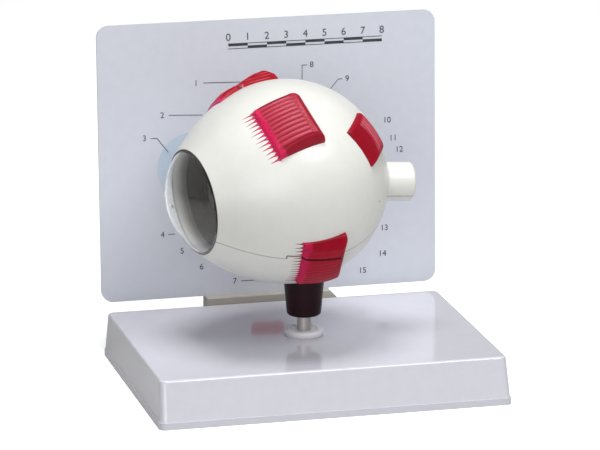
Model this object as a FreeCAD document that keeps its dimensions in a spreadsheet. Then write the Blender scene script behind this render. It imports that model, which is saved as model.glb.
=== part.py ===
import FreeCAD, Part

import math
import os
import re

import Sketcher
from FreeCAD import Placement, Rotation, Vector

# Desk model of a right eye, about four times life size, millimetres.
# World frame: origin at the centre of the base's underside, +X to the right along the
# front of the base, +Y back to the card, +Z up.
# Eye frame: origin at the centre of the ball, +X out through the cornea, +Y to the nose
# side (medial), +Z up (superior). The two halves of the ball part on its XY plane.

SIZES = {
    # base
    "BaseLength": (165.1, "base, left to right, at the foot"),
    "BaseDepth": (127.0, "base, front to back, at the foot"),
    "BaseHeight": (21.5, "base, foot to top face"),
    "BaseCorner": (3.0, "radius of the base's upright corners"),
    "BaseEdge": (1.2, "round along the top edge"),
    "BaseWall": (2.6, "thickness of the base's walls and top"),
    "RimHeight": (3.3, "upright rim at the foot"),
    "RimStep": (0.4, "step from the rim in to the wall"),
    "SideDraft": (0.8, "lean of a side wall over its height"),
    "FrontDraft": (5.3, "lean of the front wall"),
    "BackDraft": (3.7, "lean of the back wall"),
    "BossRadius": (13.0, "boss round the bushing hole"),
    "BossDrop": (3.0, "boss below the base's top wall"),
    "RibThick": (1.8, "stiffening ribs under the top"),
    "RibDrop": (7.0, "depth of those ribs"),
    "RibPlace": (32.0, "ribs either side of the centre"),
    # bushing, rod and plug
    "RodRadius": (3.175, "support rod, quarter inch"),
    "RodBottom": (3.0, "lower end of the rod above the foot"),
    "RodBelow": (3.5, "upper end of the rod below the lowest point of the ball"),
    "RodBevel": (0.5, "bevel on the rod's ends"),
    "RunningGap": (0.05, "radial clearance of the rod in its bores"),
    "FlangeRadius": (9.1, "bushing flange"),
    "FlangeHeight": (2.8, "flange above the base"),
    "FlangeBevel": (0.7, "bevel of the flange"),
    "RecessRadius": (6.8, "recess in the flange"),
    "RecessDepth": (1.2, "depth of that recess"),
    "SleeveRadius": (6.0, "bushing sleeve through the base"),
    "SleeveBottom": (5.0, "lower end of the sleeve"),
    "NutAcross": (17.0, "locknut, across flats"),
    "NutHeight": (4.5, "locknut thickness"),
    "PlugBottom": (31.5, "underside of the stand plug"),
    "PlugTop": (54.0, "height of the uncut plug"),
    "PlugRadius": (8.05, "plug at its underside"),
    "PlugTaper": (5.0, "angle of the plug's side, degrees"),
    "PlugRound": (1.4, "round on the plug's lower edge"),
    "SeatGap": (0.1, "clearance where glued pieces meet"),
    # card and holder
    "CardWidth": (165.1, "printed card"),
    "CardHeight": (133.4, "printed card"),
    "CardCorner": (5.8, "radius of the card's corners"),
    "CardThick": (1.2, "thickness of the card"),
    "CardFront": (66.0, "front face of the card at its lower edge"),
    "CardBottom": (24.4, "lower edge of the card, resting on the holder"),
    "CardLean": (2.2, "card leaning back, degrees"),
    "TabWidth": (58.0, "tab under the card"),
    "TabDrop": (12.0, "length of the tab"),
    "SlotGap": (0.15, "clearance each side of the tab"),
    "HolderWidth": (64.0, "card holder, left to right"),
    "HolderFoot": (6.0, "underside of the holder"),
    "HolderShoulder": (18.0, "height where the holder leaves the back wall"),
    "HolderFront": (60.3, "front of the holder's upper part"),
    "HolderBack": (70.6, "back of the holder"),
    "HolderMitre": (3.6, "mitred upper corner"),
    "ScrewPlace": (22.0, "holder screws either side of the centre"),
    "ScrewHeight": (10.0, "height of the holder screws"),
    "ScrewSeat": (57.0, "inner face that the screw heads bear on"),
    "ScrewBoss": (4.6, "radius of the boss round each screw"),
    "ScrewRadius": (1.5, "screw shank"),
    "ScrewHead": (3.0, "screw head radius"),
    "ScrewHeadThick": (1.8, "screw head"),
    "ScrewLength": (8.0, "screw shank length"),
    # pose of the eye
    "EyeAhead": (9.5, "centre of the ball ahead of the rod"),
    "EyeHeight": (96.25, "centre of the ball above the foot"),
    "EyeYaw": (13.8, "cornea turned to the front, degrees"),
    "EyePitch": (5.1, "cornea tipped down, degrees"),
    "EyeRoll": (35.0, "parting plane tilted to the front, degrees"),
    # globe
    "BallRadius": (47.25, "ball"),
    "SwellAngle": (14.2, "where the ball passes into the front arc, ahead of the equator"),
    "SwellRadius": (73.4, "front arc"),
    "FlareAngle": (40.2, "cone in front of the arc, degrees to the axis"),
    "LimbusRadius": (24.8, "front edge of the white shell"),
    "ScleraWall": (3.6, "white shell"),
    "ChoroidWall": (1.0, "dark layer"),
    "RetinaWall": (1.0, "inner layer"),
    "ChoroidDepth": (5.4, "front edge of the dark layer behind the iris ledge"),
    "RetinaDepth": (14.9, "front edge of the inner layer behind the iris ledge"),
    "Reach": (95.0, "reach of the cutting outlines"),
    # parting key, pegs, vent
    "KeyBack": (-4.0, "rear end of the key, ahead of the centre"),
    "KeyFront": (20.6, "front end of the key"),
    "KeyHeight": (2.0, "height of the key"),
    "KeyGap": (0.2, "clearance at the key's ends"),
    "PegRadius": (1.1, "locating peg"),
    "PegLength": (4.0, "peg, to each side of the parting plane"),
    "PegAngle": (128.0, "pegs from the cornea's axis, degrees"),
    "VentRadius": (0.6, "vent hole"),
    "VentBack": (36.2, "vent behind the equator, degrees"),
    "VentTurn": (65.7, "vent to the nose side of the top, degrees"),
    # front of the eye
    "CorneaBore": (24.35, "bore for the cornea and iris"),
    "CorneaRise": (11.0, "height of the dome"),
    "CorneaWall": (1.2, "clear wall"),
    "CorneaGap": (0.3, "clearance round the cornea and iris"),
    "LedgeDepth": (9.06, "iris ledge behind the front edge of the white shell"),
    "LedgeThick": (1.8, "iris ledge"),
    "LedgeRadius": (22.2, "bore of the ledge"),
    "IrisThick": (1.3, "iris at its rim"),
    "IrisRise": (0.9, "iris forward at the pupil"),
    "PupilRadius": (7.2, "pupil"),
    "LensRadius": (17.3, "lens"),
    "LensRim": (2.4, "rim of the lens"),
    "LensDepth": (8.3, "rear face of the lens rim behind the iris ledge"),
    "LensFrontRise": (4.3, "front of the lens beyond its rim"),
    "LensBackRise": (6.2, "back of the lens beyond its rim"),
    "CiliaryDepth": (10.3, "rear of the ciliary ring behind the iris ledge"),
    "CiliaryFins": (36, "ciliary processes round the ring"),
    "FinThick": (1.0, "one ciliary process"),
    "FinHeight": (2.0, "height of a process"),
    # optic nerve
    "NerveAngle": (15.5, "nerve to the nose side of the pole, degrees"),
    "NerveRadius": (9.1, "nerve sheath"),
    "NerveLength": (12.95, "nerve beyond the ball"),
    "NerveProud": (0.4, "upper half longer than the lower"),
    "NerveRound": (1.7, "round at the end of the nerve"),
    "NerveFlare": (1.8, "sweep from the ball into the nerve"),
    "CoreRadius": (6.0, "nerve core in the sheath"),
    "DiscRadius": (3.6, "nerve core where it enters the ball"),
    "VesselRadius": (0.8, "central vessels in the nerve"),
    "VesselPlace": (1.5, "central vessels either side of the nerve's axis"),
    # muscles
    "CrownRadius": (50.0, "outer surface of a muscle pad, along its fibres"),
    "PadRoot": (11.0, "depth of a pad before the ball is cut out of it"),
    "NoseLength": (3.6, "thin front end of a pad"),
    "SlopeFoot": (0.6, "foot of a slope above the ball"),
    "PadCorner": (5.0, "rounded rear corner of a pad"),
    "PadBorder": (1.0, "plain border beside the ribs"),
    "PadEdgeDrop": (0.3, "border lower than the ribs"),
    "RibDepth": (0.7, "grooves between the ribs"),
    "RibPitch": (2.5, "from one rib to the next"),
}

# Each muscle's place in degrees: ahead of the equator, from the top towards the nose side,
# swing about its middle, and half its length round the ball.
MUSCLE_ANGLES = {
    "SuperiorRectus": (13.3, 4.0, 3.0, 14.3),
    "InferiorRectus": (13.3, 184.0, 3.0, 14.3),
    "MedialRectus": (3.8, 95.2, 7.2, 13.0),
    "LateralRectus": (2.4, -75.7, 0.0, 11.6),
    "LateralTendon": (23.2, -71.5, 0.0, 8.2),
    "SuperiorOblique": (-36.2, 21.3, -56.8, 11.3),
    "InferiorOblique": (-34.0, -131.0, 56.8, 11.3),
}
ANGLE_NOTES = {
    "Ahead": "middle ahead of the equator, degrees",
    "Turn": "middle from the top towards the nose side, degrees",
    "Swing": "swing about its middle, degrees",
    "Half": "half its length, degrees round the ball",
}
# Each muscle's sizes: heights of its rear and front ends over the ball, its width, the width
# of the plain slope on one side, the bevel at its rear end, and what is cut off its front
# edge.
MUSCLE_SIZES = {
    "SuperiorRectus": (4.6, 2.9, 28.2, 3.4, 3.5, 1.5),
    "InferiorRectus": (4.6, 2.9, 28.2, 3.4, 3.5, 1.5),
    "MedialRectus": (4.5, 1.9, 31.2, 3.0, 4.0, 1.0),
    "LateralRectus": (7.2, 2.2, 30.8, 1.6, 6.2, 1.4),
    "LateralTendon": (2.9, 2.9, 26.0, 1.2, 1.4, 0.9),
    "SuperiorOblique": (2.4, 2.6, 19.6, 8.5, 1.6, 1.3),
    "InferiorOblique": (2.4, 2.6, 19.6, 8.5, 1.6, 1.3),
}
SIZE_NOTES = {
    "Rear": "rear end above the ball",
    "Front": "front end above the ball",
    "Width": "width across the fibres",
    "Slope": "plain slope beside the ribs",
    "Bevel": "bevel at the rear end",
    "Nose": "thickness cut off its front edge",
}
for table, notes in ((MUSCLE_ANGLES, ANGLE_NOTES), (MUSCLE_SIZES, SIZE_NOTES)):
    for muscle, numbers in table.items():
        for (quantity, note), number in zip(notes.items(), numbers):
            SIZES[muscle + quantity] = (number, f"{muscle}: {note}")
MIRRORED_PADS = ("MedialRectus",)

X, Y, Z = Vector(1, 0, 0), Vector(0, 1, 0), Vector(0, 0, 1)

doc = FreeCAD.newDocument("EyeModel")
pieces = []


# ---- sheet, expressions and sketches

def fill_sheet():
    """Put every driving size into the sheet, one row each, with its alias."""
    sheet = doc.addObject("Spreadsheet::Sheet", "Size")
    for row, (alias, (number, note)) in enumerate({**SIZES, **PLACES}.items(), 1):
        sheet.set(f"A{row}", note)
        sheet.set(f"B{row}", f"={number}")
        sheet.setAlias(f"B{row}", alias)
    doc.recompute()
    return sheet


def bound(text):
    """Point each size named in an expression at its cell."""
    return re.sub(r"[A-Z]\w+", lambda word: "Size." + word.group(), text)


def value(text):
    """Number that an expression of sizes comes to now."""
    return float(sheet.evalExpression(re.sub(r"Size\.", "", bound(text))))


def bind(thing, path, text):
    """Bind a property or constraint to an expression of sizes."""
    thing.setExpression(path, bound(text))


def new_body(label, placement=None):
    """Empty body that will be one piece, or part of one."""
    body = doc.addObject("PartDesign::Body", label)
    body.Label = label
    if placement:
        body.Placement = placement
    return body


def new_sketch(body, role="XY_Plane", offset=None):
    """Sketch on one of the body's origin planes, moved by an offset."""
    sketch = body.newObject("Sketcher::SketchObject", body.Label + "_sketch")
    plane = next(item for item in body.Origin.OriginFeatures if item.Role == role)
    sketch.AttachmentSupport = [(plane, "")]
    sketch.MapMode = "FlatFace"
    if offset:
        sketch.AttachmentOffset = offset
    return sketch


def pin(sketch, edge, end, x, y):
    """Hold one end of an edge at a place given by two expressions."""
    for kind, text in (("DistanceX", x), ("DistanceY", y)):
        rule = Sketcher.Constraint(kind, -1, 1, edge, end, value(text))
        bind(sketch, f"Constraints[{sketch.addConstraint(rule)}]", text)


def add_edge(sketch, start, end, radius, side):
    """Line, or arc bulging left (1) or right (-1); returns the edge and its two ends."""
    if not radius:
        return sketch.addGeometry(Part.LineSegment(start, end), False), 1, 2
    run = end - start
    size = value(radius)
    away = (size * size - run.Length * run.Length / 4) ** 0.5
    left = Vector(-run.y, run.x, 0).normalize()
    centre = (start + end) * 0.5 - left * away * side
    first, last = (end, start) if side > 0 else (start, end)
    turns = [Vector(1, 0, 0).getAngle(p - centre) * (1 if p.y >= centre.y else -1)
             for p in (first, last)]
    circle = Part.Circle(centre, Z, size)
    edge = sketch.addGeometry(Part.ArcOfCircle(circle, turns[0], turns[1]), False)
    rule = Sketcher.Constraint("Radius", edge, size)
    bind(sketch, f"Constraints[{sketch.addConstraint(rule)}]", radius)
    return (edge, 2, 1) if side > 0 else (edge, 1, 2)


def outline(sketch, corners):
    """Closed outline. A corner is (x, y), or (x, y, radius, side) where an arc follows."""
    corners = [tuple(corner) + (None, 1) * (len(corner) == 2) for corner in corners]
    points = [Vector(value(x), value(y), 0) for x, y, _, _ in corners]
    edges = []
    for index, (_, _, radius, side) in enumerate(corners):
        following = points[(index + 1) % len(points)]
        edges.append(add_edge(sketch, points[index], following, radius, side))
    for index, (edge, _, last) in enumerate(edges):
        onward, first, _ = edges[(index + 1) % len(edges)]
        sketch.addConstraint(Sketcher.Constraint("Coincident", edge, last, onward, first))
    for (edge, first, _), (x, y, _, _) in zip(edges, corners):
        pin(sketch, edge, first, x, y)


def ring(sketch, x, y, radius):
    """Circle about a place given by expressions."""
    circle = Part.Circle(Vector(value(x), value(y), 0), Z, value(radius))
    edge = sketch.addGeometry(circle, False)
    pin(sketch, edge, 3, x, y)
    rule = Sketcher.Constraint("Radius", edge, value(radius))
    bind(sketch, f"Constraints[{sketch.addConstraint(rule)}]", radius)


def block(sketch, left, right, front, back, corner=None):
    """Rectangle between four expressions, with round corners if a radius is given."""
    if not corner:
        outline(sketch, [(left, front), (right, front), (right, back), (left, back)])
        return
    inner_left, inner_right = f"{left} + {corner}", f"{right} - {corner}"
    inner_front, inner_back = f"{front} + {corner}", f"{back} - {corner}"
    outline(sketch, [
        (inner_left, front), (inner_right, front, corner, -1),
        (right, inner_front), (right, inner_back, corner, -1),
        (inner_right, back), (inner_left, back, corner, -1),
        (left, inner_back), (left, inner_front, corner, -1)])


# ---- features

def volume(body):
    """Volume of the body's present shape, or nothing yet."""
    return body.Tip.Shape.Volume if body.Tip and not body.Tip.Shape.isNull() else 0.0


def settle(body, feature, cuts, before, may_miss=False):
    """Recompute a feature, turn it round if it did nothing, and see that it works."""
    doc.recompute()
    changed = volume(body) - before
    if abs(changed) < 1e-3 or (changed > 0) == cuts:
        feature.Reversed = not feature.Reversed
        doc.recompute()
        changed = volume(body) - before
    if not may_miss and (abs(changed) < 1e-3 or (changed > 0) == cuts):
        raise RuntimeError(f"{body.Label}: {feature.Label} has no effect")
    return feature


def extrude(body, sketch, length, cuts=False, both=False, reverse=False, may_miss=False):
    """Pad or pocket of a given length, or through everything if the length is None."""
    before = volume(body)
    kind = "Pocket" if cuts else "Pad"
    feature = body.newObject("PartDesign::" + kind, f"{body.Label}_{kind.lower()}")
    feature.Profile = sketch
    feature.Reversed = reverse
    if both:
        feature.SideType = "Symmetric"
    if length:
        bind(feature, "Length", length)
    else:
        feature.Type = "ThroughAll"
    return settle(body, feature, cuts, before, may_miss)


def turned(body, sketch, angle="360", cuts=False, axis="H_Axis", reverse=False):
    """Revolution or groove about an axis of its sketch."""
    before = volume(body)
    kind = "Groove" if cuts else "Revolution"
    feature = body.newObject("PartDesign::" + kind, f"{body.Label}_{kind.lower()}")
    feature.Profile = sketch
    feature.ReferenceAxis = (sketch, [axis])
    feature.Reversed = reverse
    bind(feature, "Angle", angle)
    return settle(body, feature, cuts, before)


def lofted(body, sketches, cuts=False):
    """Loft through two sketches."""
    before = volume(body)
    kind = "SubtractiveLoft" if cuts else "AdditiveLoft"
    feature = body.newObject("PartDesign::" + kind, f"{body.Label}_{kind.lower()}")
    feature.Profile = sketches[0]
    feature.Sections = sketches[1:]
    feature.Ruled = True
    doc.recompute()
    if (volume(body) > before) == cuts:
        raise RuntimeError(f"{body.Label}: loft has no effect")
    return feature


def patterned(body, feature, role, count):
    """Repeat a feature evenly round an axis of the body's origin."""
    pattern = body.newObject("PartDesign::PolarPattern", body.Label + "_pattern")
    pattern.Originals = [feature]
    pattern.Axis = (next(o for o in body.Origin.OriginFeatures if o.Role == role), [""])
    bind(pattern, "Occurrences", count)
    body.Tip = pattern
    doc.recompute()
    return pattern


def eye_place():
    """Placement of the eye frame in the world."""
    yaw = Rotation(Z, 180 + value("EyeYaw"))
    turn = yaw * Rotation(Y, value("EyePitch")) * Rotation(X, -value("EyeRoll"))
    ahead = yaw.multVec(Vector(value("EyeAhead"), 0, 0))
    return Placement(ahead + Vector(0, 0, value("EyeHeight")), turn)


# ---- outline of the globe in the eye frame, as expressions

SWELL_AHEAD = "(BallRadius - SwellRadius) * sin(SwellAngle)"
SWELL_OUT = "(BallRadius - SwellRadius) * cos(SwellAngle)"


def join_point(inset):
    """Where the ball passes into the front arc, on a surface inset from the outside."""
    radius = f"(BallRadius - ({inset}))"
    return f"{radius} * sin(SwellAngle)", f"{radius} * cos(SwellAngle)"


def flare_point(inset):
    """Where the front arc passes into the cone."""
    radius = f"(SwellRadius - ({inset}))"
    return (f"{SWELL_AHEAD} + {radius} * sin(FlareAngle)",
            f"{SWELL_OUT} + {radius} * cos(FlareAngle)")


def arc_height(inset, ahead):
    """Radius of the front arc's surface at a station ahead of the centre."""
    radius = f"(SwellRadius - ({inset}))"
    return f"{SWELL_OUT} + sqrt({radius}^2 - ({ahead} - {SWELL_AHEAD})^2)"


def limbus_ahead():
    """Station of the front edge of the white shell."""
    start, height = flare_point("0")
    return f"{start} + ({height} - LimbusRadius) / tan(FlareAngle)"


# Places that follow from the sizes, so that the rod and the inside keep to the shell.
PLACES = {
    "RodTop": ("EyeHeight - BallRadius - RodBelow", "upper end of the rod"),
    "LimbusAhead": (limbus_ahead(), "front edge of the white shell ahead of the centre"),
    "LedgeFront": ("LimbusAhead - LedgeDepth", "front face of the iris ledge"),
    "LensBack": ("LedgeFront - LensDepth", "rear face of the lens rim"),
    "CiliaryBack": ("LedgeFront - CiliaryDepth", "rear of the ciliary ring"),
    "ChoroidFront": ("LedgeFront - ChoroidDepth", "front edge of the dark layer"),
    "RetinaFront": ("LedgeFront - RetinaDepth", "front edge of the inner layer"),
    "PegPlace": ("BallRadius - ScleraWall / 2", "pegs from the centre"),
    "NerveReach": ("BallRadius + NerveLength", "end of the nerve from the centre"),
    "CoreNeck": ("BallRadius - ScleraWall / 2", "start of the taper of the nerve core"),
}


def ball_part(inset):
    """The stretch of outline from the pole to the cone, for a given inset."""
    return [
        (f"-(BallRadius - ({inset}))", "0", f"BallRadius - ({inset})", 1),
        (*join_point(inset), f"SwellRadius - ({inset})", 1),
        flare_point(inset)]


def solid_globe(inset):
    """Outline of the whole globe, closed along the axis."""
    return ball_part(inset) + [("LimbusAhead", f"LimbusRadius - ({inset})"),
                               ("LimbusAhead", "0")]


def nerve_frame(angle=0.0):
    """Offset that turns a sketch's x axis along the optic nerve."""
    return Placement(Vector(), Rotation(Z, 180 - value("NerveAngle")) * Rotation(X, angle))


# ---- base, bushing and card

def base_shell():
    body = new_body("base_shell")
    half, deep = "BaseLength / 2", "BaseDepth / 2"
    foot = new_sketch(body)
    block(foot, f"-{half}", half, f"-{deep}", deep, "BaseCorner")
    extrude(body, foot, "RimHeight")

    def wall_sketch(height, side, front, back):
        sketch = new_sketch(body)
        bind(sketch, "AttachmentOffset.Base.z", height)
        block(sketch, f"-{half} + {side}", f"{half} - ({side})", f"-{deep} + {front}",
              f"{deep} - ({back})", "BaseCorner")
        return sketch

    low = wall_sketch("RimHeight", "RimStep", "RimStep", "RimStep")
    high = wall_sketch("BaseHeight", "RimStep + SideDraft", "RimStep + FrontDraft",
                       "RimStep + BackDraft")
    wall = lofted(body, [low, high])
    top = value("BaseHeight")
    rim = [f"Edge{n}" for n, edge in enumerate(wall.Shape.Edges, 1)
           if min(v.Z for v in edge.Vertexes) > top - 1e-3]
    fillet = body.newObject("PartDesign::Fillet", "base_shell_fillet")
    fillet.Base = (wall, rim)
    bind(fillet, "Radius", "BaseEdge")
    doc.recompute()
    inside = "BaseWall + RimStep"
    lower = wall_sketch("0", inside, inside, inside)
    upper = wall_sketch("BaseHeight - BaseWall", f"{inside} + SideDraft",
                        f"{inside} + FrontDraft", f"{inside} + BackDraft")
    lofted(body, [lower, upper], cuts=True)
    boss = new_sketch(body)
    bind(boss, "AttachmentOffset.Base.z", "BaseHeight - BaseWall - BossDrop")
    ring(boss, "0", "0", "BossRadius")
    extrude(body, boss, "BossDrop + BaseWall / 2")
    ribs = new_sketch(body)
    bind(ribs, "AttachmentOffset.Base.z", "BaseHeight - BaseWall - RibDrop")
    for sign in ("-", ""):
        block(ribs, f"{sign}RibPlace - RibThick / 2", f"{sign}RibPlace + RibThick / 2",
              f"-{deep} + BaseWall + FrontDraft", f"{deep} - BaseWall - BackDraft")
    extrude(body, ribs, "RibDrop + BaseWall / 2")
    bosses = new_sketch(body, "XZ_Plane")
    bind(bosses, "AttachmentOffset.Base.z", "-ScrewSeat")
    for sign in ("-", ""):
        ring(bosses, f"{sign}ScrewPlace", "ScrewHeight", "ScrewBoss")
    extrude(body, bosses, f"{back_wall('ScrewHeight')} - BaseWall / 2 - ScrewSeat", reverse=True)
    bore = new_sketch(body)
    ring(bore, "0", "0", "SleeveRadius + SeatGap")
    extrude(body, bore, None, cuts=True, both=True)
    holes = new_sketch(body, "XZ_Plane")
    bind(holes, "AttachmentOffset.Base.z", "-ScrewSeat")
    for sign in ("-", ""):
        ring(holes, f"{sign}ScrewPlace", "ScrewHeight", "ScrewRadius + SeatGap")
    extrude(body, holes, f"{deep} - ScrewSeat", cuts=True, reverse=True)
    return body


def rod_bushing():
    body = new_body("rod_bushing")
    top, bore = "BaseHeight + FlangeHeight", "RodRadius + RunningGap"
    sketch = new_sketch(body, "XZ_Plane")
    outline(sketch, [
        (bore, "SleeveBottom"), ("SleeveRadius", "SleeveBottom"),
        ("SleeveRadius", "BaseHeight"), ("FlangeRadius", "BaseHeight"),
        ("FlangeRadius", f"{top} - FlangeBevel"), ("FlangeRadius - FlangeBevel", top),
        ("RecessRadius", top), ("RecessRadius", f"{top} - RecessDepth"),
        (bore, f"{top} - RecessDepth")])
    turned(body, sketch, axis="V_Axis")
    return body


def bushing_nut():
    body = new_body("bushing_nut")
    sketch = new_sketch(body)
    bind(sketch, "AttachmentOffset.Base.z", "BaseHeight - BaseWall - BossDrop - NutHeight")
    across = "NutAcross / 2 / cos(30)"
    outline(sketch, [(f"{across} * cos({60 * k})", f"{across} * sin({60 * k})")
                     for k in range(6)])
    ring(sketch, "0", "0", "SleeveRadius + SeatGap")
    extrude(body, sketch, "NutHeight")
    return body


def support_rod():
    body = new_body("support_rod")
    sketch = new_sketch(body, "XZ_Plane")
    outline(sketch, [
        ("0", "RodBottom"), ("RodRadius - RodBevel", "RodBottom"),
        ("RodRadius", "RodBottom + RodBevel"), ("RodRadius", "RodTop - RodBevel"),
        ("RodRadius - RodBevel", "RodTop"), ("0", "RodTop")])
    turned(body, sketch, axis="V_Axis")
    return body


def back_wall(height):
    """Place of the back wall's outer face at a height, as an expression."""
    slope = "BackDraft / (BaseHeight - RimHeight)"
    return f"BaseDepth / 2 - RimStep - ({height} - RimHeight) * {slope}"


def card_holder():
    body = new_body("card_holder")
    top = "(CardBottom - CardThick * sin(CardLean))"
    side = new_sketch(body, "YZ_Plane")
    outline(side, [
        (back_wall("HolderFoot"), "HolderFoot"), ("HolderBack", "HolderFoot"),
        ("HolderBack", top), ("HolderFront", top),
        ("HolderFront", "HolderShoulder"), (back_wall("HolderShoulder"), "HolderShoulder")])
    extrude(body, side, "HolderWidth", both=True)
    lean = Placement(Vector(0, value("CardFront"), value("CardBottom")),
                     Rotation(X, 90 - value("CardLean")))
    slot = new_sketch(body, offset=lean)
    half = "(TabWidth / 2 + SlotGap)"
    block(slot, f"-{half}", half, "-TabDrop - SlotGap", "Reach")
    bind(slot, "AttachmentOffset.Base.y", "CardFront - SlotGap")
    extrude(body, slot, "CardThick + 2 * SlotGap", cuts=True)
    mitre = new_sketch(body, "XZ_Plane")
    edge = "HolderWidth / 2"
    outline(mitre, [
        (f"{edge} - HolderMitre", top), (edge, f"{top} - HolderMitre"),
        (f"{edge} + HolderMitre", f"{top} + HolderMitre")])
    extrude(body, mitre, None, cuts=True, both=True)
    holes = new_sketch(body, "XZ_Plane")
    bind(holes, "AttachmentOffset.Base.z", "-ScrewSeat")
    for sign in ("-", ""):
        ring(holes, f"{sign}ScrewPlace", "ScrewHeight", "ScrewRadius + RunningGap")
    extrude(body, holes, "ScrewLength + SeatGap", cuts=True, reverse=True)
    return body


def holder_screws():
    """Two pan-head screws, from inside the back wall into the holder."""
    screws = []
    for sign in (-1, 1):
        parts = []
        for name, radius, length, start in (
                ("shank", "ScrewRadius", "ScrewLength", "0"),
                ("head", "ScrewHead", "ScrewHeadThick", "-ScrewHeadThick")):
            rod = doc.addObject("Part::Cylinder", f"screw_{name}")
            bind(rod, "Radius", radius)
            bind(rod, "Height", length)
            rod.Placement = Placement(Vector(), Rotation(X, -90))
            bind(rod, "Placement.Base.x", f"{sign} * ScrewPlace")
            bind(rod, "Placement.Base.y", f"ScrewSeat + {start}")
            bind(rod, "Placement.Base.z", "ScrewHeight")
            parts.append(rod)
        whole = doc.addObject("Part::Fuse", "screw")
        whole.Base, whole.Tool = parts
        screws.append(whole)
    group = doc.addObject("Part::Compound", "holder_screws")
    group.Links = screws
    return group


def key_card():
    lean = Placement(Vector(0, value("CardFront"), value("CardBottom")),
                     Rotation(X, 90 - value("CardLean")))
    body = new_body("key_card", lean)
    sheet_sketch = new_sketch(body)
    block(sheet_sketch, "-CardWidth / 2", "CardWidth / 2", "0", "CardHeight", "CardCorner")
    extrude(body, sheet_sketch, "CardThick", reverse=True)
    tab = new_sketch(body)
    block(tab, "-TabWidth / 2", "TabWidth / 2", "-TabDrop", "CardCorner")
    extrude(body, tab, "CardThick", reverse=True)
    return body


# ---- eye: stand plug and shells

def stand_plug():
    """Tapered plug on the rod, its top hollowed to the ball."""
    body = new_body("plug_blank")
    sketch = new_sketch(body, "XZ_Plane")
    bore, rise = "RodRadius + RunningGap", "(PlugTop - PlugBottom)"
    outline(sketch, [
        (bore, "PlugBottom"), ("PlugRadius - PlugRound", "PlugBottom", "PlugRound", -1),
        ("PlugRadius", "PlugBottom + PlugRound"),
        (f"PlugRadius + {rise} * tan(PlugTaper)", "PlugTop"), ("0", "PlugTop"),
        ("0", "RodTop + SeatGap"), (bore, "RodTop + SeatGap")])
    turned(body, sketch, axis="V_Axis")
    ball = doc.addObject("Part::Sphere", "plug_seat")
    bind(ball, "Radius", "BallRadius + SeatGap")
    ball.Placement = eye_place()
    plug = doc.addObject("Part::Cut", "stand_plug")
    plug.Base, plug.Tool = body, ball
    return plug


def parting_outline(upper):
    """Side view of what is cut away to leave one half of the ball."""
    gap = "KeyGap" if upper else "0"
    far = "-Reach" if upper else "Reach"
    back, front = f"KeyBack - {gap}", f"KeyFront + {gap}"
    return [("-Reach", "0"), (back, "0"), (back, "KeyHeight"), (front, "KeyHeight"),
            (front, "0"), ("Reach", "0"), ("Reach", far), ("-Reach", far)]


def part_off(body, upper, may_miss=False):
    """Cut a piece on the stepped parting plane and keep its upper or lower side."""
    sketch = new_sketch(body, "XZ_Plane")
    outline(sketch, parting_outline(upper))
    extrude(body, sketch, None, cuts=True, both=True, may_miss=may_miss)


def core_outline(gap):
    """Half outline of the nerve core, along the nerve's axis."""
    disc, core = f"DiscRadius + {gap}", f"CoreRadius + {gap}"
    taper = "CoreNeck + CoreRadius - DiscRadius"
    return disc, core, taper


def sclera(upper):
    """White shell with its half of the nerve sheath, parted on the stepped plane."""
    body = new_body("sclera_upper" if upper else "sclera_lower", eye_place())
    globe = new_sketch(body)
    outline(globe, solid_globe("0"))
    turned(body, globe)
    nerve = new_sketch(body, offset=nerve_frame())
    end = "NerveReach + NerveProud" if upper else "NerveReach"
    root = "BallRadius - ScleraWall / 3"
    outline(nerve, [
        ("BallRadius - ScleraWall", "0"), (end, "0"),
        (end, "NerveRadius - NerveRound", "NerveRound", -1),
        (f"{end} - NerveRound", "NerveRadius"),
        (f"{root} + NerveFlare", "NerveRadius", "NerveFlare", 1),
        (root, "NerveRadius + NerveFlare"),
        ("BallRadius - ScleraWall", "NerveRadius + NerveFlare")])
    turned(body, nerve)
    cavity = new_sketch(body)
    ledge_back = "LedgeFront - LedgeThick"
    outline(cavity, ball_part("ScleraWall")[:2] + [
        (ledge_back, arc_height("ScleraWall", ledge_back)), (ledge_back, "LedgeRadius"),
        ("LedgeFront", "LedgeRadius"), ("LedgeFront", "CorneaBore"),
        ("LimbusAhead + 1", "CorneaBore"), ("LimbusAhead + 1", "0")])
    turned(body, cavity, cuts=True)
    bore = new_sketch(body, offset=nerve_frame())
    disc, core, taper = core_outline("SeatGap")
    outline(bore, [("CoreNeck - ScleraWall * 2", "0"), ("CoreNeck - ScleraWall * 2", disc),
                   ("CoreNeck", disc), (taper, core), ("Reach", core), ("Reach", "0")])
    turned(body, bore, cuts=True)
    part_off(body, upper)
    sockets = new_sketch(body)
    for sign in ("", "-"):
        ring(sockets, "PegPlace * cos(PegAngle)", f"{sign}PegPlace * sin(PegAngle)",
             "PegRadius + RunningGap")
    extrude(body, sockets, "PegLength + KeyGap", cuts=True)
    if upper:
        tilt = Rotation(X, -value("VentTurn")) * Rotation(Y, -value("VentBack"))
        vent = new_sketch(body, offset=Placement(Vector(), tilt))
        ring(vent, "0", "0", "VentRadius")
        extrude(body, vent, "BallRadius + ScleraWall", cuts=True)
    return body


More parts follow.
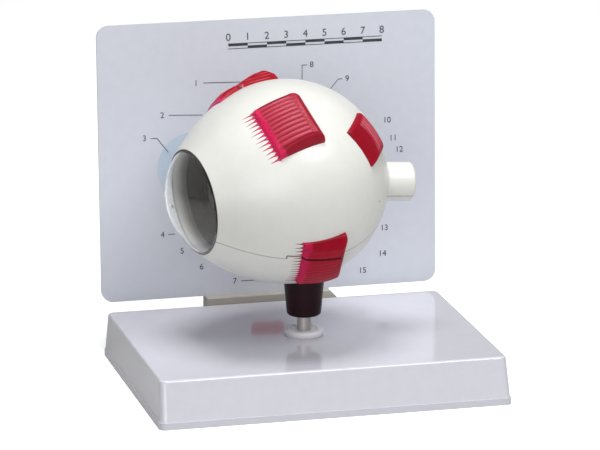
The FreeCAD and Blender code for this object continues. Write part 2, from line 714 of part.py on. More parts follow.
def inner_layer(label, upper, outer, wall, front):
    """Half of a lining: a shell of even thickness, open in front and at the nerve."""
    body = new_body(label, eye_place())
    inner = f"{outer} + {wall}"
    sketch = new_sketch(body)
    outline(sketch, [
        (f"-(BallRadius - ({outer}))", "0", f"BallRadius - ({outer})", 1),
        (*join_point(outer), f"SwellRadius - ({outer})", 1),
        (front, arc_height(outer, front)),
        (front, arc_height(inner, front), f"SwellRadius - ({inner})", -1),
        (*join_point(inner), f"BallRadius - ({inner})", -1),
        (f"-(BallRadius - ({inner}))", "0")])
    turned(body, sketch, "180", reverse=not upper)
    bore = new_sketch(body, offset=nerve_frame())
    outline(bore, [("BallRadius / 2", "0"), ("BallRadius / 2", "DiscRadius + SeatGap"),
                   ("BallRadius", "DiscRadius + SeatGap"), ("BallRadius", "0")])
    turned(body, bore, cuts=True)
    return body


CHOROID_INSET = "ScleraWall + SeatGap"
RETINA_INSET = "ScleraWall + ChoroidWall + 2 * SeatGap"
VESSEL_START = f"BallRadius - ({RETINA_INSET}) - RetinaWall"


def cornea():
    body = new_body("cornea", eye_place())
    foot, radius = "LimbusAhead", "(CorneaBore - CorneaGap)"
    inner = f"({radius} - CorneaWall)"
    outer_arc = f"({radius}^2 + CorneaRise^2) / 2 / CorneaRise"
    inner_arc = f"({inner}^2 + (CorneaRise - CorneaWall)^2) / 2 / (CorneaRise - CorneaWall)"
    seat = "LedgeFront + IrisThick + SeatGap * 2"
    sketch = new_sketch(body)
    outline(sketch, [
        (seat, radius), (foot, radius, outer_arc, 1), (f"{foot} + CorneaRise", "0"),
        (f"{foot} + CorneaRise - CorneaWall", "0", inner_arc, -1), (foot, inner),
        (seat, inner)])
    turned(body, sketch)
    return body


def iris():
    body = new_body("iris", eye_place())
    back, rim = "LedgeFront + SeatGap", "CorneaBore - CorneaGap"
    sketch = new_sketch(body)
    outline(sketch, [
        (back, rim), (f"{back} + IrisThick", rim), (f"{back} + IrisThick", f"{rim} - 2"),
        (f"{back} + IrisThick + IrisRise", "PupilRadius + 0.6"),
        (f"{back} + IrisThick + IrisRise - 0.5", "PupilRadius"), (back, "PupilRadius")])
    turned(body, sketch)
    return body


def ciliary_body(upper):
    """Half ring that carries the lens, with its processes round the inner edge."""
    body = new_body("ciliary_body_upper" if upper else "ciliary_body_lower", eye_place())
    gap = "CorneaGap" if upper else "SeatGap"
    wall, lining = "ScleraWall + SeatGap", f"{RETINA_INSET} + SeatGap"
    front, step = "LedgeFront - LedgeThick - SeatGap", "ChoroidFront + SeatGap"
    hold = f"LensRadius + {gap}"
    sketch = new_sketch(body)
    outline(sketch, [
        (step, arc_height(wall, step)), (front, arc_height(f"{wall} + SeatGap", front)),
        (front, "LedgeRadius"), ("LensBack + LensRim + 1", hold),
        ("LensBack - 1", hold), ("CiliaryBack", "LedgeRadius"),
        ("CiliaryBack", arc_height(lining, "CiliaryBack")), (step, arc_height(lining, step))])
    turned(body, sketch, "180", reverse=not upper)
    pitch = 360 / value("CiliaryFins")
    first = pitch / 2 if upper else -pitch / 2
    fin = new_sketch(body, offset=Placement(Vector(), Rotation(X, first)))
    outline(fin, [
        ("CiliaryBack + 1", "LedgeRadius"), ("CiliaryBack - FinHeight", "LedgeRadius + FinHeight"),
        ("CiliaryBack", "LedgeRadius + 4 * FinHeight"),
        ("CiliaryBack + 1", "LedgeRadius + 4 * FinHeight")])
    blade = extrude(body, fin, "FinThick", both=True)
    round_ring = patterned(body, blade, "X_Axis", "CiliaryFins / 2")
    bind(round_ring, "Angle", "180 - 360 / CiliaryFins")
    round_ring.Reversed = not upper
    doc.recompute()
    return body


def lens():
    body = new_body("lens", eye_place())
    front = "LensBack + LensRim"
    front_arc = "(LensRadius^2 + LensFrontRise^2) / 2 / LensFrontRise"
    back_arc = "(LensRadius^2 + LensBackRise^2) / 2 / LensBackRise"
    sketch = new_sketch(body)
    outline(sketch, [
        ("LensBack", "LensRadius"), (front, "LensRadius", front_arc, 1),
        (f"{front} + LensFrontRise", "0"), ("LensBack - LensBackRise", "0", back_arc, 1)])
    turned(body, sketch)
    return body


def nerve_core(upper):
    """Half of the nerve inside the sheath, grooved for the central vessels."""
    body = new_body("nerve_core_upper" if upper else "nerve_core_lower", eye_place())
    disc, core, taper = core_outline("0")
    end = "NerveReach + NerveProud" if upper else "NerveReach"
    sketch = new_sketch(body, offset=nerve_frame())
    outline(sketch, [(VESSEL_START, "0"), (VESSEL_START, disc), ("CoreNeck", disc), (taper, core),
                     (end, core), (end, "0")])
    turned(body, sketch, "180", reverse=not upper)
    along = nerve_frame() * Placement(Vector(), Rotation(Y, 90))
    grooves = new_sketch(body, offset=along)
    gap = "CorneaGap" if upper else "SeatGap"
    for sign in ("-", ""):
        ring(grooves, "0", f"{sign}VesselPlace", f"VesselRadius + {gap}")
    extrude(body, grooves, "Reach", cuts=True)
    return body


def central_vessel(label, side):
    """Straight vessel in the nerve, beside its axis."""
    body = new_body(label, eye_place())
    sketch = new_sketch(body, offset=nerve_frame() * Placement(Vector(), Rotation(Y, 90)))
    ring(sketch, "0", f"{side} * VesselPlace", "VesselRadius")
    bind(sketch, "AttachmentOffset.Base.x", f"-({VESSEL_START}) * cos(NerveAngle)")
    bind(sketch, "AttachmentOffset.Base.y", f"({VESSEL_START}) * sin(NerveAngle)")
    extrude(body, sketch, f"NerveReach - ({VESSEL_START})")
    return body


def locating_pegs():
    """Two pegs standing in the lower shell's rim."""
    pegs = []
    for side in (-1, 1):
        peg = doc.addObject("Part::Cylinder", "peg")
        bind(peg, "Radius", "PegRadius")
        bind(peg, "Height", "2 * PegLength")
        turn = Rotation(Z, side * value("PegAngle"))
        place = turn.multVec(Vector(value("PegPlace"), 0, 0)) - Z * value("PegLength")
        peg.Placement = eye_place() * Placement(place, Rotation())
        pegs.append(peg)
    group = doc.addObject("Part::Compound", "locating_pegs")
    group.Links = pegs
    return group


# ---- muscles

def pad_frame(muscle):
    """Frame of a muscle pad: x along its fibres to the tendon, z out through its middle."""
    turn = Rotation(X, -value(muscle + "Turn")) * Rotation(Y, value(muscle + "Ahead"))
    return Placement(Vector(), turn * Rotation(Z, value(muscle + "Swing")))


def crown_arc(muscle):
    """Centre of the pad's outer curve in its frame, and the angles of its two ends."""
    half, radius = value(muscle + "Half"), value("CrownRadius")
    rear = Rotation(Y, -half).multVec(Z) * (value("BallRadius") + value(muscle + "Rear"))
    front = Rotation(Y, half).multVec(Z) * (value("BallRadius") + value(muscle + "Front"))
    chord = front - rear
    inward = Rotation(Y, 90).multVec(chord).normalize()
    depth = (radius ** 2 - (chord.Length / 2) ** 2) ** 0.5
    centre = (rear + front) * 0.5 + inward * depth
    ends = [Z.getAngle(end - centre) * (1 if end.x > centre.x else -1)
            for end in (rear, front)]
    return centre, *[angle * 180 / math.pi for angle in ends]


def comb_outline(muscle):
    """Cross-section of a pad: a row of ribs on the crown, a border and a plain slope."""
    valley, width = "(CrownRadius - RibDepth)", f"{muscle}Width"
    left, right = f"-{width} / 2 + PadBorder", f"{width} / 2 - {muscle}Slope"
    count = round((value(right) - value(left)) / value("RibPitch"))
    steps = [f"({left} + ({right} - ({left})) * {k} / {count})" for k in range(count + 1)]
    heights = [f"sqrt({valley}^2 - {step}^2)" for step in steps]
    corners = [(step, height, "RibPitch * 0.62", 1) for step, height in zip(steps, heights)]
    corners[-1] = (steps[-1], heights[-1])
    root = "(CrownRadius - PadRoot)"
    low = f"sqrt({valley}^2 - ({width} / 2)^2)"
    return [(f"-{width} / 2", root), (f"-{width} / 2", f"{low} - PadEdgeDrop"), *corners,
            (f"{width} / 2", f"{low} - PadEdgeDrop"), (f"{width} / 2", root)]


def slope_points(muscle):
    """Upper and lower end of the plain slope, across the fibres and out from the centre."""
    foot, wide = f"{muscle}Width / 2", f"{muscle}Slope"
    low = f"sqrt(BallRadius^2 - ({foot})^2) + SlopeFoot"
    crown = f"(BallRadius + ({muscle}Rear + {muscle}Front) / 2)"
    rise = f"(sqrt({crown}^2 - ({foot} - {wide})^2) - ({low}))"
    return (f"{foot} - 1.5 * {wide}", f"{low} + 1.5 * {rise}"), (foot, low)


def sided(muscle, corners, across=0):
    """An outline's corners, mirrored across the fibres for a pad that slopes on -y."""
    if muscle not in MIRRORED_PADS:
        return corners
    mirrored = []
    for corner in corners:
        corner = list(corner)
        corner[across] = f"-({corner[across]})"
        if len(corner) > 2:
            corner[3] = -corner[3]
        mirrored.append(tuple(corner))
    return mirrored


def muscle_pad(label, muscle, half=None):
    """Ribbed pad on the ball, thin at its tendon and thick at its cut rear end."""
    body = new_body(label, eye_place())
    frame = pad_frame(muscle)
    centre, rear, front = crown_arc(muscle)
    upright = Rotation(Y, Vector(), X, "XZY") * Rotation(X, rear)
    sketch = new_sketch(body, offset=frame * Placement(centre, upright))
    outline(sketch, sided(muscle, comb_outline(muscle)))
    turned(body, sketch, f"{front - rear}")
    side = Placement(centre, Rotation(X, 90) * Rotation(Z, -rear))
    bevel = new_sketch(body, offset=frame * side)
    outline(bevel, [
        ("0", f"CrownRadius - {muscle}Bevel"), (f"{muscle}Bevel", "CrownRadius + RibDepth"),
        ("0", "CrownRadius + PadRoot"), ("-PadRoot", "CrownRadius + PadRoot"),
        ("-PadRoot", f"CrownRadius - {muscle}Bevel")])
    extrude(body, bevel, None, cuts=True, both=True)
    tip = Placement(centre, Rotation(X, 90) * Rotation(Z, -front))
    nose = new_sketch(body, offset=frame * tip)
    edge = f"CrownRadius - {muscle}Nose"
    outline(nose, [
        ("0", edge), ("-NoseLength", "CrownRadius + RibDepth"),
        ("0", "CrownRadius + PadRoot"), ("PadRoot", "CrownRadius + PadRoot"),
        ("PadRoot", edge)])
    extrude(body, nose, None, cuts=True, both=True)
    slope = new_sketch(body, offset=frame * Placement(Vector(), Rotation(Y, Z, X, "YZX")))
    high, low = slope_points(muscle)
    outline(slope, sided(muscle, [
        low, high, (high[0], f"{high[1]} + PadRoot"),
        (f"{low[0]} + PadRoot", f"{high[1]} + PadRoot"), (f"{low[0]} + PadRoot", low[1])]))
    extrude(body, slope, None, cuts=True, both=True)
    corner = new_sketch(body, offset=frame)
    back = f"(-(BallRadius + {muscle}Rear) * sin({muscle}Half))"
    edge = f"(-{muscle}Width / 2)"
    outline(corner, sided(muscle, [
        (f"{back} + PadCorner", edge, "PadCorner", 1), (back, f"{edge} + PadCorner"),
        (f"{back} - PadCorner", f"{edge} + PadCorner"),
        (f"{back} - PadCorner", f"{edge} - PadCorner"),
        (f"{back} + PadCorner", f"{edge} - PadCorner")], across=1))
    extrude(body, corner, None, cuts=True, both=True)
    ball = new_sketch(body)
    outline(ball, solid_globe("-SeatGap"))
    turned(body, ball, cuts=True)
    if half:
        part_off(body, half == "upper", may_miss=True)
    return body


# ---- assembly

sheet = fill_sheet()

pieces += [base_shell(), rod_bushing(), bushing_nut(), card_holder(), holder_screws()]
pieces += [support_rod(), key_card(), stand_plug()]
for upper in (False, True):
    half = "upper" if upper else "lower"
    pieces.append(sclera(upper))
    pieces.append(inner_layer("choroid_" + half, upper, CHOROID_INSET, "ChoroidWall",
                              "ChoroidFront"))
    pieces.append(inner_layer("retina_" + half, upper, RETINA_INSET, "RetinaWall",
                              "RetinaFront"))
    pieces.append(ciliary_body(upper))
    pieces.append(nerve_core(upper))
pieces += [cornea(), iris(), lens(), locating_pegs()]
pieces.append(central_vessel("central_retinal_artery", 1))
pieces.append(central_vessel("central_retinal_vein", -1))
pieces.append(muscle_pad("superior_rectus", "SuperiorRectus"))
pieces.append(muscle_pad("inferior_rectus", "InferiorRectus"))
pieces.append(muscle_pad("superior_oblique", "SuperiorOblique"))
pieces.append(muscle_pad("inferior_oblique", "InferiorOblique"))
for half in ("lower", "upper"):
    pieces.append(muscle_pad("medial_rectus_" + half, "MedialRectus", half))
    pieces.append(muscle_pad("lateral_rectus_" + half, "LateralRectus", half))
pieces.append(muscle_pad("lateral_rectus_tendon", "LateralTendon", "upper"))

doc.recompute()
for thing in doc.Objects:
    if "Invalid" in thing.State or "Error" in thing.State:
        raise RuntimeError(f"{thing.Label} did not compute: {thing.State}")
os.makedirs("parts", exist_ok=True)
for piece in pieces:
    if piece.Shape.isNull() or not piece.Shape.isValid():
        raise RuntimeError(f"{piece.Label} has no valid shape")
    piece.Shape.exportStep(f"parts/{piece.Label}.step")
    print(f"{piece.Label}: {len(piece.Shape.Solids)} solid(s), {piece.Shape.Volume:.1f} mm3")
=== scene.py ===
import math
import bpy
import numpy as np
from mathutils import Matrix, Vector


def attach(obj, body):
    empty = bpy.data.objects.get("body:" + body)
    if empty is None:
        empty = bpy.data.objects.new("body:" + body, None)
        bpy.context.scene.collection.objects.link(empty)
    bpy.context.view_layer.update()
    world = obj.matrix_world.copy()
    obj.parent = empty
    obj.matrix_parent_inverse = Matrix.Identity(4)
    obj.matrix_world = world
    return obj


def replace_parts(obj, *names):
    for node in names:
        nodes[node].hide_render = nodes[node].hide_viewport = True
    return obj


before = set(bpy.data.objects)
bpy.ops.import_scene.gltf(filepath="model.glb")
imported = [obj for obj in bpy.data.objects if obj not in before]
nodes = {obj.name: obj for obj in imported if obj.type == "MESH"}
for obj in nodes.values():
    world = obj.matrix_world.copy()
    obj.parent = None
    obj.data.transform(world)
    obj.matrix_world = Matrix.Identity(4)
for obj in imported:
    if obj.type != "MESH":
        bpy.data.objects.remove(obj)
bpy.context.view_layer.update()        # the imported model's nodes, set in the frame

mm = 0.001
print("frame:", len(nodes), "nodes")

# Lengths below are millimetres and angles degrees. The eye's own axes start at the middle of
# the ball and run ahead to the cornea, to the nose side and up through the upper half.
eyePose = {"ahead": 9.5, "height": 96.25, "yaw": 13.8, "pitch": 5.1, "roll": 35.0}


def turned(degrees):
    return math.cos(math.radians(degrees)), math.sin(math.radians(degrees))


# ahead by yaw and pitch, then the other two axes turned about it by the roll
def eyeFrame():
    (yawX, yawY), (pitchX, pitchY) = turned(eyePose["yaw"]), turned(eyePose["pitch"])
    rollX, rollY = turned(eyePose["roll"])
    ahead = np.array([-yawX * pitchX, -yawY * pitchX, -pitchY])
    level = np.array([yawY, -yawX, 0.0])
    upright = np.array([-yawX * pitchY, -yawY * pitchY, pitchX])
    centre = np.array([-yawX * eyePose["ahead"], -yawY * eyePose["ahead"], eyePose["height"]])
    return centre, np.array([ahead, rollX * level - rollY * upright,
                             rollX * upright + rollY * level])


eyeCentre, eyeAxes = eyeFrame()

camera = {"place": (-0.4610, -1.8186, 0.5657), "lens": 251.33, "sensor": 36.0, "farthest": 20.0,
          "right": (0.9696, -0.2448, 0.0), "up": (0.0620, 0.2457, 0.9674),
          "back": (-0.2368, -0.9379, 0.2534)}

studio = {"floor": (0.86, 0.865, 0.87, 1), "glow": (1, 1, 1, 1), "floorGlow": 0.5,
          "floorSide": 3.0, "bounce": (0.5, 0.5, 0.5, 1), "world": 0.1, "gloss": 0.12,
          "aim": (0, 0, 0.07)}

# each lamp's place, the side of its square and its power
lamps = {"keyLight": ((0.5, -0.9, 1.3), 0.8, 12.6),
         "frontLight": ((-0.5, -1.7, 0.45), 1.0, 7.0),
         "leftLight": ((-1.1, -1.4, 0.35), 0.8, 1.9),
         "topLight": ((-0.1, -0.1, 1.5), 0.48, 14.3)}


# a new object in the scene
def added(name, data):
    thing = bpy.data.objects.new(name, data)
    bpy.context.scene.collection.objects.link(thing)
    return thing


def makeCamera():
    eye = added("camera", bpy.data.cameras.new("camera"))
    turn = Matrix((camera["right"], camera["up"], camera["back"])).transposed().to_4x4()
    eye.matrix_world = Matrix.Translation(camera["place"]) @ turn
    eye.data.lens = camera["lens"]
    eye.data.sensor_width = camera["sensor"]
    eye.data.clip_end = camera["farthest"]
    bpy.context.scene.camera = eye


# square lamp turned to the studio's aim
def softbox(name, place, side, power):
    lamp = bpy.data.lights.new(name, "AREA")
    lamp.size = side
    lamp.energy = power
    holder = added(name, lamp)
    holder.location = place
    aim = Vector(studio["aim"]) - Vector(place)
    holder.rotation_euler = aim.to_track_quat("-Z", "Y").to_euler()


# adds a shader node with its settings, and what goes into its sockets
def put(tree, kind, links=None, **settings):
    node = tree.nodes.new(kind)
    for key, value in settings.items():
        setattr(node, key, value)
    for socket, source in (links or {}).items():
        if isinstance(source, bpy.types.NodeSocket):
            tree.links.new(source, node.inputs[socket])
        else:
            node.inputs[socket].default_value = source
    return node


def calc(tree, operation, *terms):
    return put(tree, "ShaderNodeMath", dict(enumerate(terms)), operation=operation).outputs[0]


def vectorCalc(tree, operation, first, second):
    links = {0: first, 3 if operation == "SCALE" else 1: second}
    node = put(tree, "ShaderNodeVectorMath", links, operation=operation)
    return node.outputs["Value" if operation == "DOT_PRODUCT" else "Vector"]


# product of one or more values
def times(tree, first, *others):
    for other in others:
        first = calc(tree, "MULTIPLY", first, other)
    return first


# first times second, plus third
def scaled(tree, first, second, third):
    return calc(tree, "MULTIPLY_ADD", first, second, third)


def oneLess(tree, value):
    return calc(tree, "SUBTRACT", 1.0, value)


# how far apart two values are
def apart(tree, first, second):
    return calc(tree, "ABSOLUTE", calc(tree, "SUBTRACT", first, second))


# colours laid over one another, each by the product of its shares
def layered(tree, colour, *layers):
    for *shares, over in layers:
        links = {0: times(tree, *shares), 6: colour, 7: over}
        colour = put(tree, "ShaderNodeMix", links, data_type="RGBA").outputs[2]
    return colour


def mixShaders(tree, share, first, second):
    return put(tree, "ShaderNodeMixShader", {0: share, 1: first, 2: second}).outputs[0]


# a value that a piece's mesh carries at its points
def read(tree, label):
    return put(tree, "ShaderNodeAttribute", attribute_name=label).outputs["Fac"]


def ramp(tree, value, low, high, toLow=0.0, toHigh=1.0):
    links = {0: value, 1: low, 2: high, 3: toLow, 4: toHigh}
    return put(tree, "ShaderNodeMapRange", links, interpolation_type="SMOOTHSTEP").outputs[0]


def noise(tree, place, scale, detail=2.0):
    links = {"Vector": place, "Scale": scale, "Detail": detail}
    return put(tree, "ShaderNodeTexNoise", links).outputs[0]


def bump(tree, height, distance, strength=0.5):
    links = {"Strength": strength, "Distance": distance * mm, "Height": height}
    return put(tree, "ShaderNodeBump", links).outputs[0]


# a colour as a screen shows it, 0 to 255, turned into the shader's linear values
def rgb(red, green, blue):
    values = np.array([red, green, blue]) / 255
    linear = np.where(values < 0.04045, values / 12.92, ((values + 0.055) / 1.055) ** 2.4)
    return (*[float(v) for v in linear], 1.0)


# noise over two values, so that it can be long one way and fine the other
def stretched(tree, first, second, detail):
    flat = put(tree, "ShaderNodeCombineXYZ", {0: first, 1: second}).outputs[0]
    return noise(tree, flat, 1.0, detail)


# inputs are named with their starting values, None for a vector
def newGroup(name, **inputs):
    tree = bpy.data.node_groups.new(name, "ShaderNodeTree")
    for label, start in inputs.items():
        kind = "NodeSocketVector" if start is None else "NodeSocketFloat"
        socket = tree.interface.new_socket(label, in_out="INPUT", socket_type=kind)
        if start is not None:
            socket.default_value = start
    return tree, tree.nodes.new("NodeGroupInput").outputs


# outputs are all single values
def closeGroup(tree, **values):
    for label in values:
        tree.interface.new_socket(label, in_out="OUTPUT", socket_type="NodeSocketFloat")
    put(tree, "NodeGroupOutput", values)
    return tree


def useGroup(tree, group, **links):
    return put(tree, "ShaderNodeGroup", links, node_tree=group).outputs


# moulded surface: a fine skin, slow waves of tone, and a few specks of dust
def mouldingGroup():
    tree, given = newGroup("moulding", Place=None, Skin=1.2, Wave=0.2)
    skin = noise(tree, given["Place"], given["Skin"], 3.0)
    slow = noise(tree, given["Place"], given["Wave"], 6.0)
    cells = put(tree, "ShaderNodeTexVoronoi", {"Vector": given["Place"], "Scale": 0.3})
    return closeGroup(tree, Height=scaled(tree, skin, 0.35, slow),
                      Tone=ramp(tree, slow, 0.35, 0.65),
                      Speck=ramp(tree, cells.outputs["Distance"], 0.07, 0.03))


# place in the eye's own axes, with the distance out from its axis, the angle round it and the
# distance from the middle of the ball
def eyePlaceGroup():
    tree, given = newGroup("eyePlace", Place=None)
    fromCentre = vectorCalc(tree, "SUBTRACT", given["Place"], tuple(eyeCentre))
    ahead, side, up = (vectorCalc(tree, "DOT_PRODUCT", fromCentre, tuple(axis))
                       for axis in eyeAxes)

    def length(first, second):
        return calc(tree, "POWER", scaled(tree, first, first, times(tree, second, second)), 0.5)

    out = length(side, up)
    return closeGroup(tree, Ahead=ahead, Up=up, Out=out, Far=length(ahead, out),
                      Round=calc(tree, "ARCTAN2", side, up))


moulding, eyePlace = mouldingGroup(), eyePlaceGroup()


# the emptied node tree of a material or of the world
def emptyTree(owner):
    owner.use_nodes = True
    owner.node_tree.nodes.clear()
    return owner.node_tree


# a material's tree with its place in millimetres
def newMaterial(name):
    material = bpy.data.materials.new(name)
    tree = emptyTree(material)
    place = put(tree, "ShaderNodeTexCoord").outputs["Object"]
    return material, tree, vectorCalc(tree, "SCALE", place, 1 / mm)


def principled(tree, **links):
    return put(tree, "ShaderNodeBsdfPrincipled",
               {key.replace("_", " "): value for key, value in links.items()}).outputs[0]


def finish(tree, shader):
    put(tree, "ShaderNodeOutputMaterial", {"Surface": shader})


# finishes a material whose roughness rises with a tone
def paint(tree, tint, tone, rise, roughness, **links):
    rough = scaled(tree, tone, rise, roughness)
    finish(tree, principled(tree, Base_Color=tint, Roughness=rough, **links))


dustGrey = rgb(120, 116, 110)


# glossy or satin plastic: two near tones, a fine skin and a little dust
def plastic(name, colour, shade, roughness=0.3, coat=0.0, skin=1.2, relief=0.02, dust=0.0,
            shine=0.5, coatRough=0.06):
    material, tree, place = newMaterial(name)
    skinned = useGroup(tree, moulding, Place=place, Skin=skin)
    tint = layered(tree, colour, (skinned["Tone"], shade), (skinned["Speck"], dust, dustGrey))
    paint(tree, tint, skinned["Tone"], 0.06, roughness, Coat_Weight=coat,
          Coat_Roughness=coatRough, Specular_IOR_Level=shine,
          Normal=bump(tree, skinned["Height"], relief))
    return material


def dress(material, *names):
    for name in names:
        slots = nodes[name].data.materials
        slots.clear()
        slots.append(material)


# drawn steel: fine lines, long along one axis
def steel(name, colour, stretch, roughness=0.4):
    material, tree, place = newMaterial(name)
    lines = noise(tree, vectorCalc(tree, "MULTIPLY", place, stretch), 1.0, 4.0)
    dark = tuple(0.72 * c for c in colour[:3]) + (1,)
    paint(tree, layered(tree, colour, (lines, dark)), lines, 0.18, roughness, Metallic=0.75,
          Normal=bump(tree, lines, 0.01, 0.4))
    return material


# how much of the background a ray sees: all from the camera and through glass, a share off
# gloss, and none once it has lit a dull surface
def backgroundRays(tree):
    sight = put(tree, "ShaderNodeLightPath").outputs
    clear = calc(tree, "MAXIMUM", sight["Is Camera Ray"], sight["Is Transmission Ray"])
    off = times(tree, sight["Is Glossy Ray"], studio["gloss"])
    unlit = calc(tree, "LESS_THAN", sight["Diffuse Depth"], 0.5)
    return times(tree, calc(tree, "MAXIMUM", clear, off), unlit)


# flat square under the object, and a pale sky that glass and, in part, gloss see as white
def makeStudio():
    side = studio["floorSide"]
    mesh = bpy.data.meshes.new("floor")
    mesh.from_pydata([(-side, -side, 0), (side, -side, 0), (side, side, 0), (-side, side, 0)],
                     [], [(0, 1, 2, 3)])
    material = bpy.data.materials.new("paleFloor")
    tree = emptyTree(material)
    plain = put(tree, "ShaderNodeBsdfDiffuse", {"Color": studio["floor"]})
    glow = put(tree, "ShaderNodeEmission", {"Color": studio["glow"],
                                            "Strength": studio["floorGlow"]})
    both = put(tree, "ShaderNodeAddShader", {0: plain.outputs[0], 1: glow.outputs[0]})
    dim = put(tree, "ShaderNodeBsdfDiffuse", {"Color": studio["bounce"]})
    finish(tree, mixShaders(tree, backgroundRays(tree), dim.outputs[0], both.outputs[0]))
    mesh.materials.append(material)
    added("floor", mesh)
    world = bpy.data.worlds.new("studioWorld")
    bpy.context.scene.world = world
    tree = emptyTree(world)
    strength = scaled(tree, backgroundRays(tree), 1 - studio["world"], studio["world"])
    sky = put(tree, "ShaderNodeBackground", {"Color": studio["glow"], "Strength": strength})
    put(tree, "ShaderNodeOutputWorld", {"Surface": sky.outputs[0]})
    for name, lamp in lamps.items():
        softbox(name, *lamp)


makeCamera()
bpy.context.scene.view_settings.view_transform = "Standard"
makeStudio()
print("camera, floor and light are set")

dress(plastic("baseWhite", rgb(213, 213, 222), rgb(211, 211, 220), 0.1, 0.5, relief=0.006,
              dust=0.25, coatRough=0.08), "base_shell")
bushingWhite = plastic("bushingWhite", rgb(234, 233, 237), rgb(230, 229, 234), 0.2)
dress(bushingWhite, "rod_bushing", "bushing_nut", "locating_pegs")
dress(plastic("holderGrey", rgb(178, 173, 163), rgb(172, 167, 157), 0.36), "card_holder")
dress(plastic("cardGrey", rgb(217, 221, 231), rgb(215, 219, 229), 0.3, relief=0.004),
      "key_card")
dress(plastic("plugMaroon", rgb(38, 10, 19), rgb(32, 8, 16), 0.38, shine=0.16), "stand_plug")
dress(steel("drawnSteel", rgb(214, 209, 205), (9, 9, 0.4)), "support_rod", "holder_screws")


# quads of a grid of points, closed across its columns if it goes around
def gridFaces(rows, columns, first=0, around=False):
    r = np.arange(rows - 1)[:, None]
    c = np.arange(columns if around else columns - 1)[None, :]
    d = (c + 1) % columns
    quads = [r * columns + c, (r + 1) * columns + c, (r + 1) * columns + d, r * columns + d]
    return first + np.stack([q + 0 * (r + c) for q in quads], -1).reshape(-1, 4)


# the same, closed both ways
def ringFaces(rows, around):
    return gridFaces(rows + 1, around, 0, True) % (rows * around)


# sides of a tube whose rows go around it, and quads across its first and last row
def tubeFaces(rows, around):
    k = np.arange(around // 2 - 1)
    cap = np.stack([k, k + 1, around - 2 - k, around - 1 - k], -1)
    return np.concatenate([gridFaces(rows, around, 0, True), cap,
                           cap[:, ::-1] + (rows - 1) * around])


# all quads turned round if the closed surface would be inside out, by its signed volume
def facingOut(points, faces):
    a, b, c, d = (points[faces[:, k]] - points.mean(0) for k in range(4))
    volume = np.einsum("ij,ij->", np.cross(b - a, c - a), a)
    volume += np.einsum("ij,ij->", np.cross(c - a, d - a), a)
    return faces if volume > 0 else faces[:, ::-1]


# one object from points in the frame and faces, with values per point for its material
def meshPiece(name, points, faces, material, body, slot, flat=False, **attributes):
    mesh = bpy.data.meshes.new(name)
    mesh.from_pydata(points, [], faces, shade_flat=flat)
    for label, values in attributes.items():
        layer = mesh.attributes.new(label, "FLOAT", "POINT")
        layer.data.foreach_set("value", np.asarray(values, np.float32).ravel())
    mesh.materials.append(material)
    piece = added(name, mesh)
    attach(piece, body)
    return piece


# The card's front face: its lower edge and its lean. Printed places are across from its middle
# and up from its lower edge; a ring is its middle, its radius and its width.
card = {"front": 66.0, "bottom": 24.4, "lean": 2.2, "proud": 0.02, "ink": 0.03, "digits": 4.0,
        "line": 0.3, "bar": (-19.0, 119.4), "step": 9.4, "steps": 8, "stepGap": 0.6,
        "barTall": 2.4, "barDigits": 5.0, "digitsUp": 5.4, "ring": (-37.6, 63.3, 16.8, 6.5),
        "outlines": [(4.0, 61.0, 41.0, 0.5), (4.0, 61.0, 37.8, 0.3)],
        "red": [((-6.0, 12.6), (4.0, 12.6)), ((-14.0, 92.0), (6.0, 92.0))], "redTall": 7.4}

# a number, where it stands, and the line that leads from it, if it has one
callouts = [
    ("1", (-35.0, 103.7), [(-31.4, 103.7), (-13.6, 103.2)]),
    ("2", (-51.6, 89.1), [(-48.4, 89.1), (-32.3, 88.3)]),
    ("3", (-60.4, 78.5), [(-57.2, 78.3), (-54.3, 78.3), (-49.1, 71.4)]),
    ("4", (-52.4, 31.3), [(-49.6, 31.3), (-46.4, 31.3)]),
    ("5", (-43.0, 22.8), []), ("6", (-33.6, 14.4), []),
    ("7", (-17.4, 6.3), [(-14.2, 6.3), (-6.9, 6.2)]),
    ("8", (21.6, 109.7), [(19.2, 109.7), (16.9, 109.7), (16.8, 103.0)]),
    ("9", (39.0, 102.0), [(36.4, 102.0), (34.6, 102.0), (31.0, 97.8)]),
    ("10", (58.6, 80.7), []), ("11", (61.6, 71.8), []), ("12", (64.6, 66.0), []),
    ("13", (57.0, 27.8), []), ("14", (56.0, 15.2), []), ("15", (46.0, 7.4), []),
]


# points across, up and out from the card's face, to the frame in metres
def onCard(points):
    c, s = turned(card["lean"])
    axes = np.array([[1, 0, 0], [0, s, c], [0, -c, s]])
    return (np.array([0, card["front"], card["bottom"]]) + np.asarray(points) @ axes) * mm


# a flat shape's corners raised into a thin closed slab
def slab(corners):
    low, count = card["proud"], len(corners)
    points = [(u, v, low + h) for h in (0, 2 * card["ink"]) for u, v in corners]
    faces = [tuple(range(count))[::-1], tuple(range(count, 2 * count))]
    faces += [(k, (k + 1) % count, count + (k + 1) % count, count + k) for k in range(count)]
    return points, faces


def inkLine(start, end, width):
    start, end = np.array(start), np.array(end)
    ahead = (end - start) / np.hypot(*(end - start)) * width / 2
    left = np.array([-ahead[1], ahead[0]])
    return slab([start - ahead - left, end + ahead - left, end + ahead + left,
                 start - ahead + left])


# a mark with round ends
def inkPill(start, end, width, steps=12):
    turns = np.radians(np.linspace(-90, 90, steps))
    arc = width / 2 * np.stack([np.cos(turns), np.sin(turns)], -1)
    return slab([*(np.array(end) + arc), *(np.array(start) - arc)])


# a flat ring: the four corners of its section carried round
def inkRing(u, v, radius, width, sides=96):
    turns = np.linspace(0, 2 * math.pi, sides, endpoint=False)
    reach = np.array([[radius - width], [radius], [radius], [radius - width]])
    height = card["proud"] + card["ink"] * np.array([[0], [0], [2], [2]])
    points = np.stack([u + reach * np.cos(turns), v + reach * np.sin(turns),
                       height + 0 * turns], -1).reshape(-1, 3)
    return points, facingOut(points, ringFaces(4, sides))


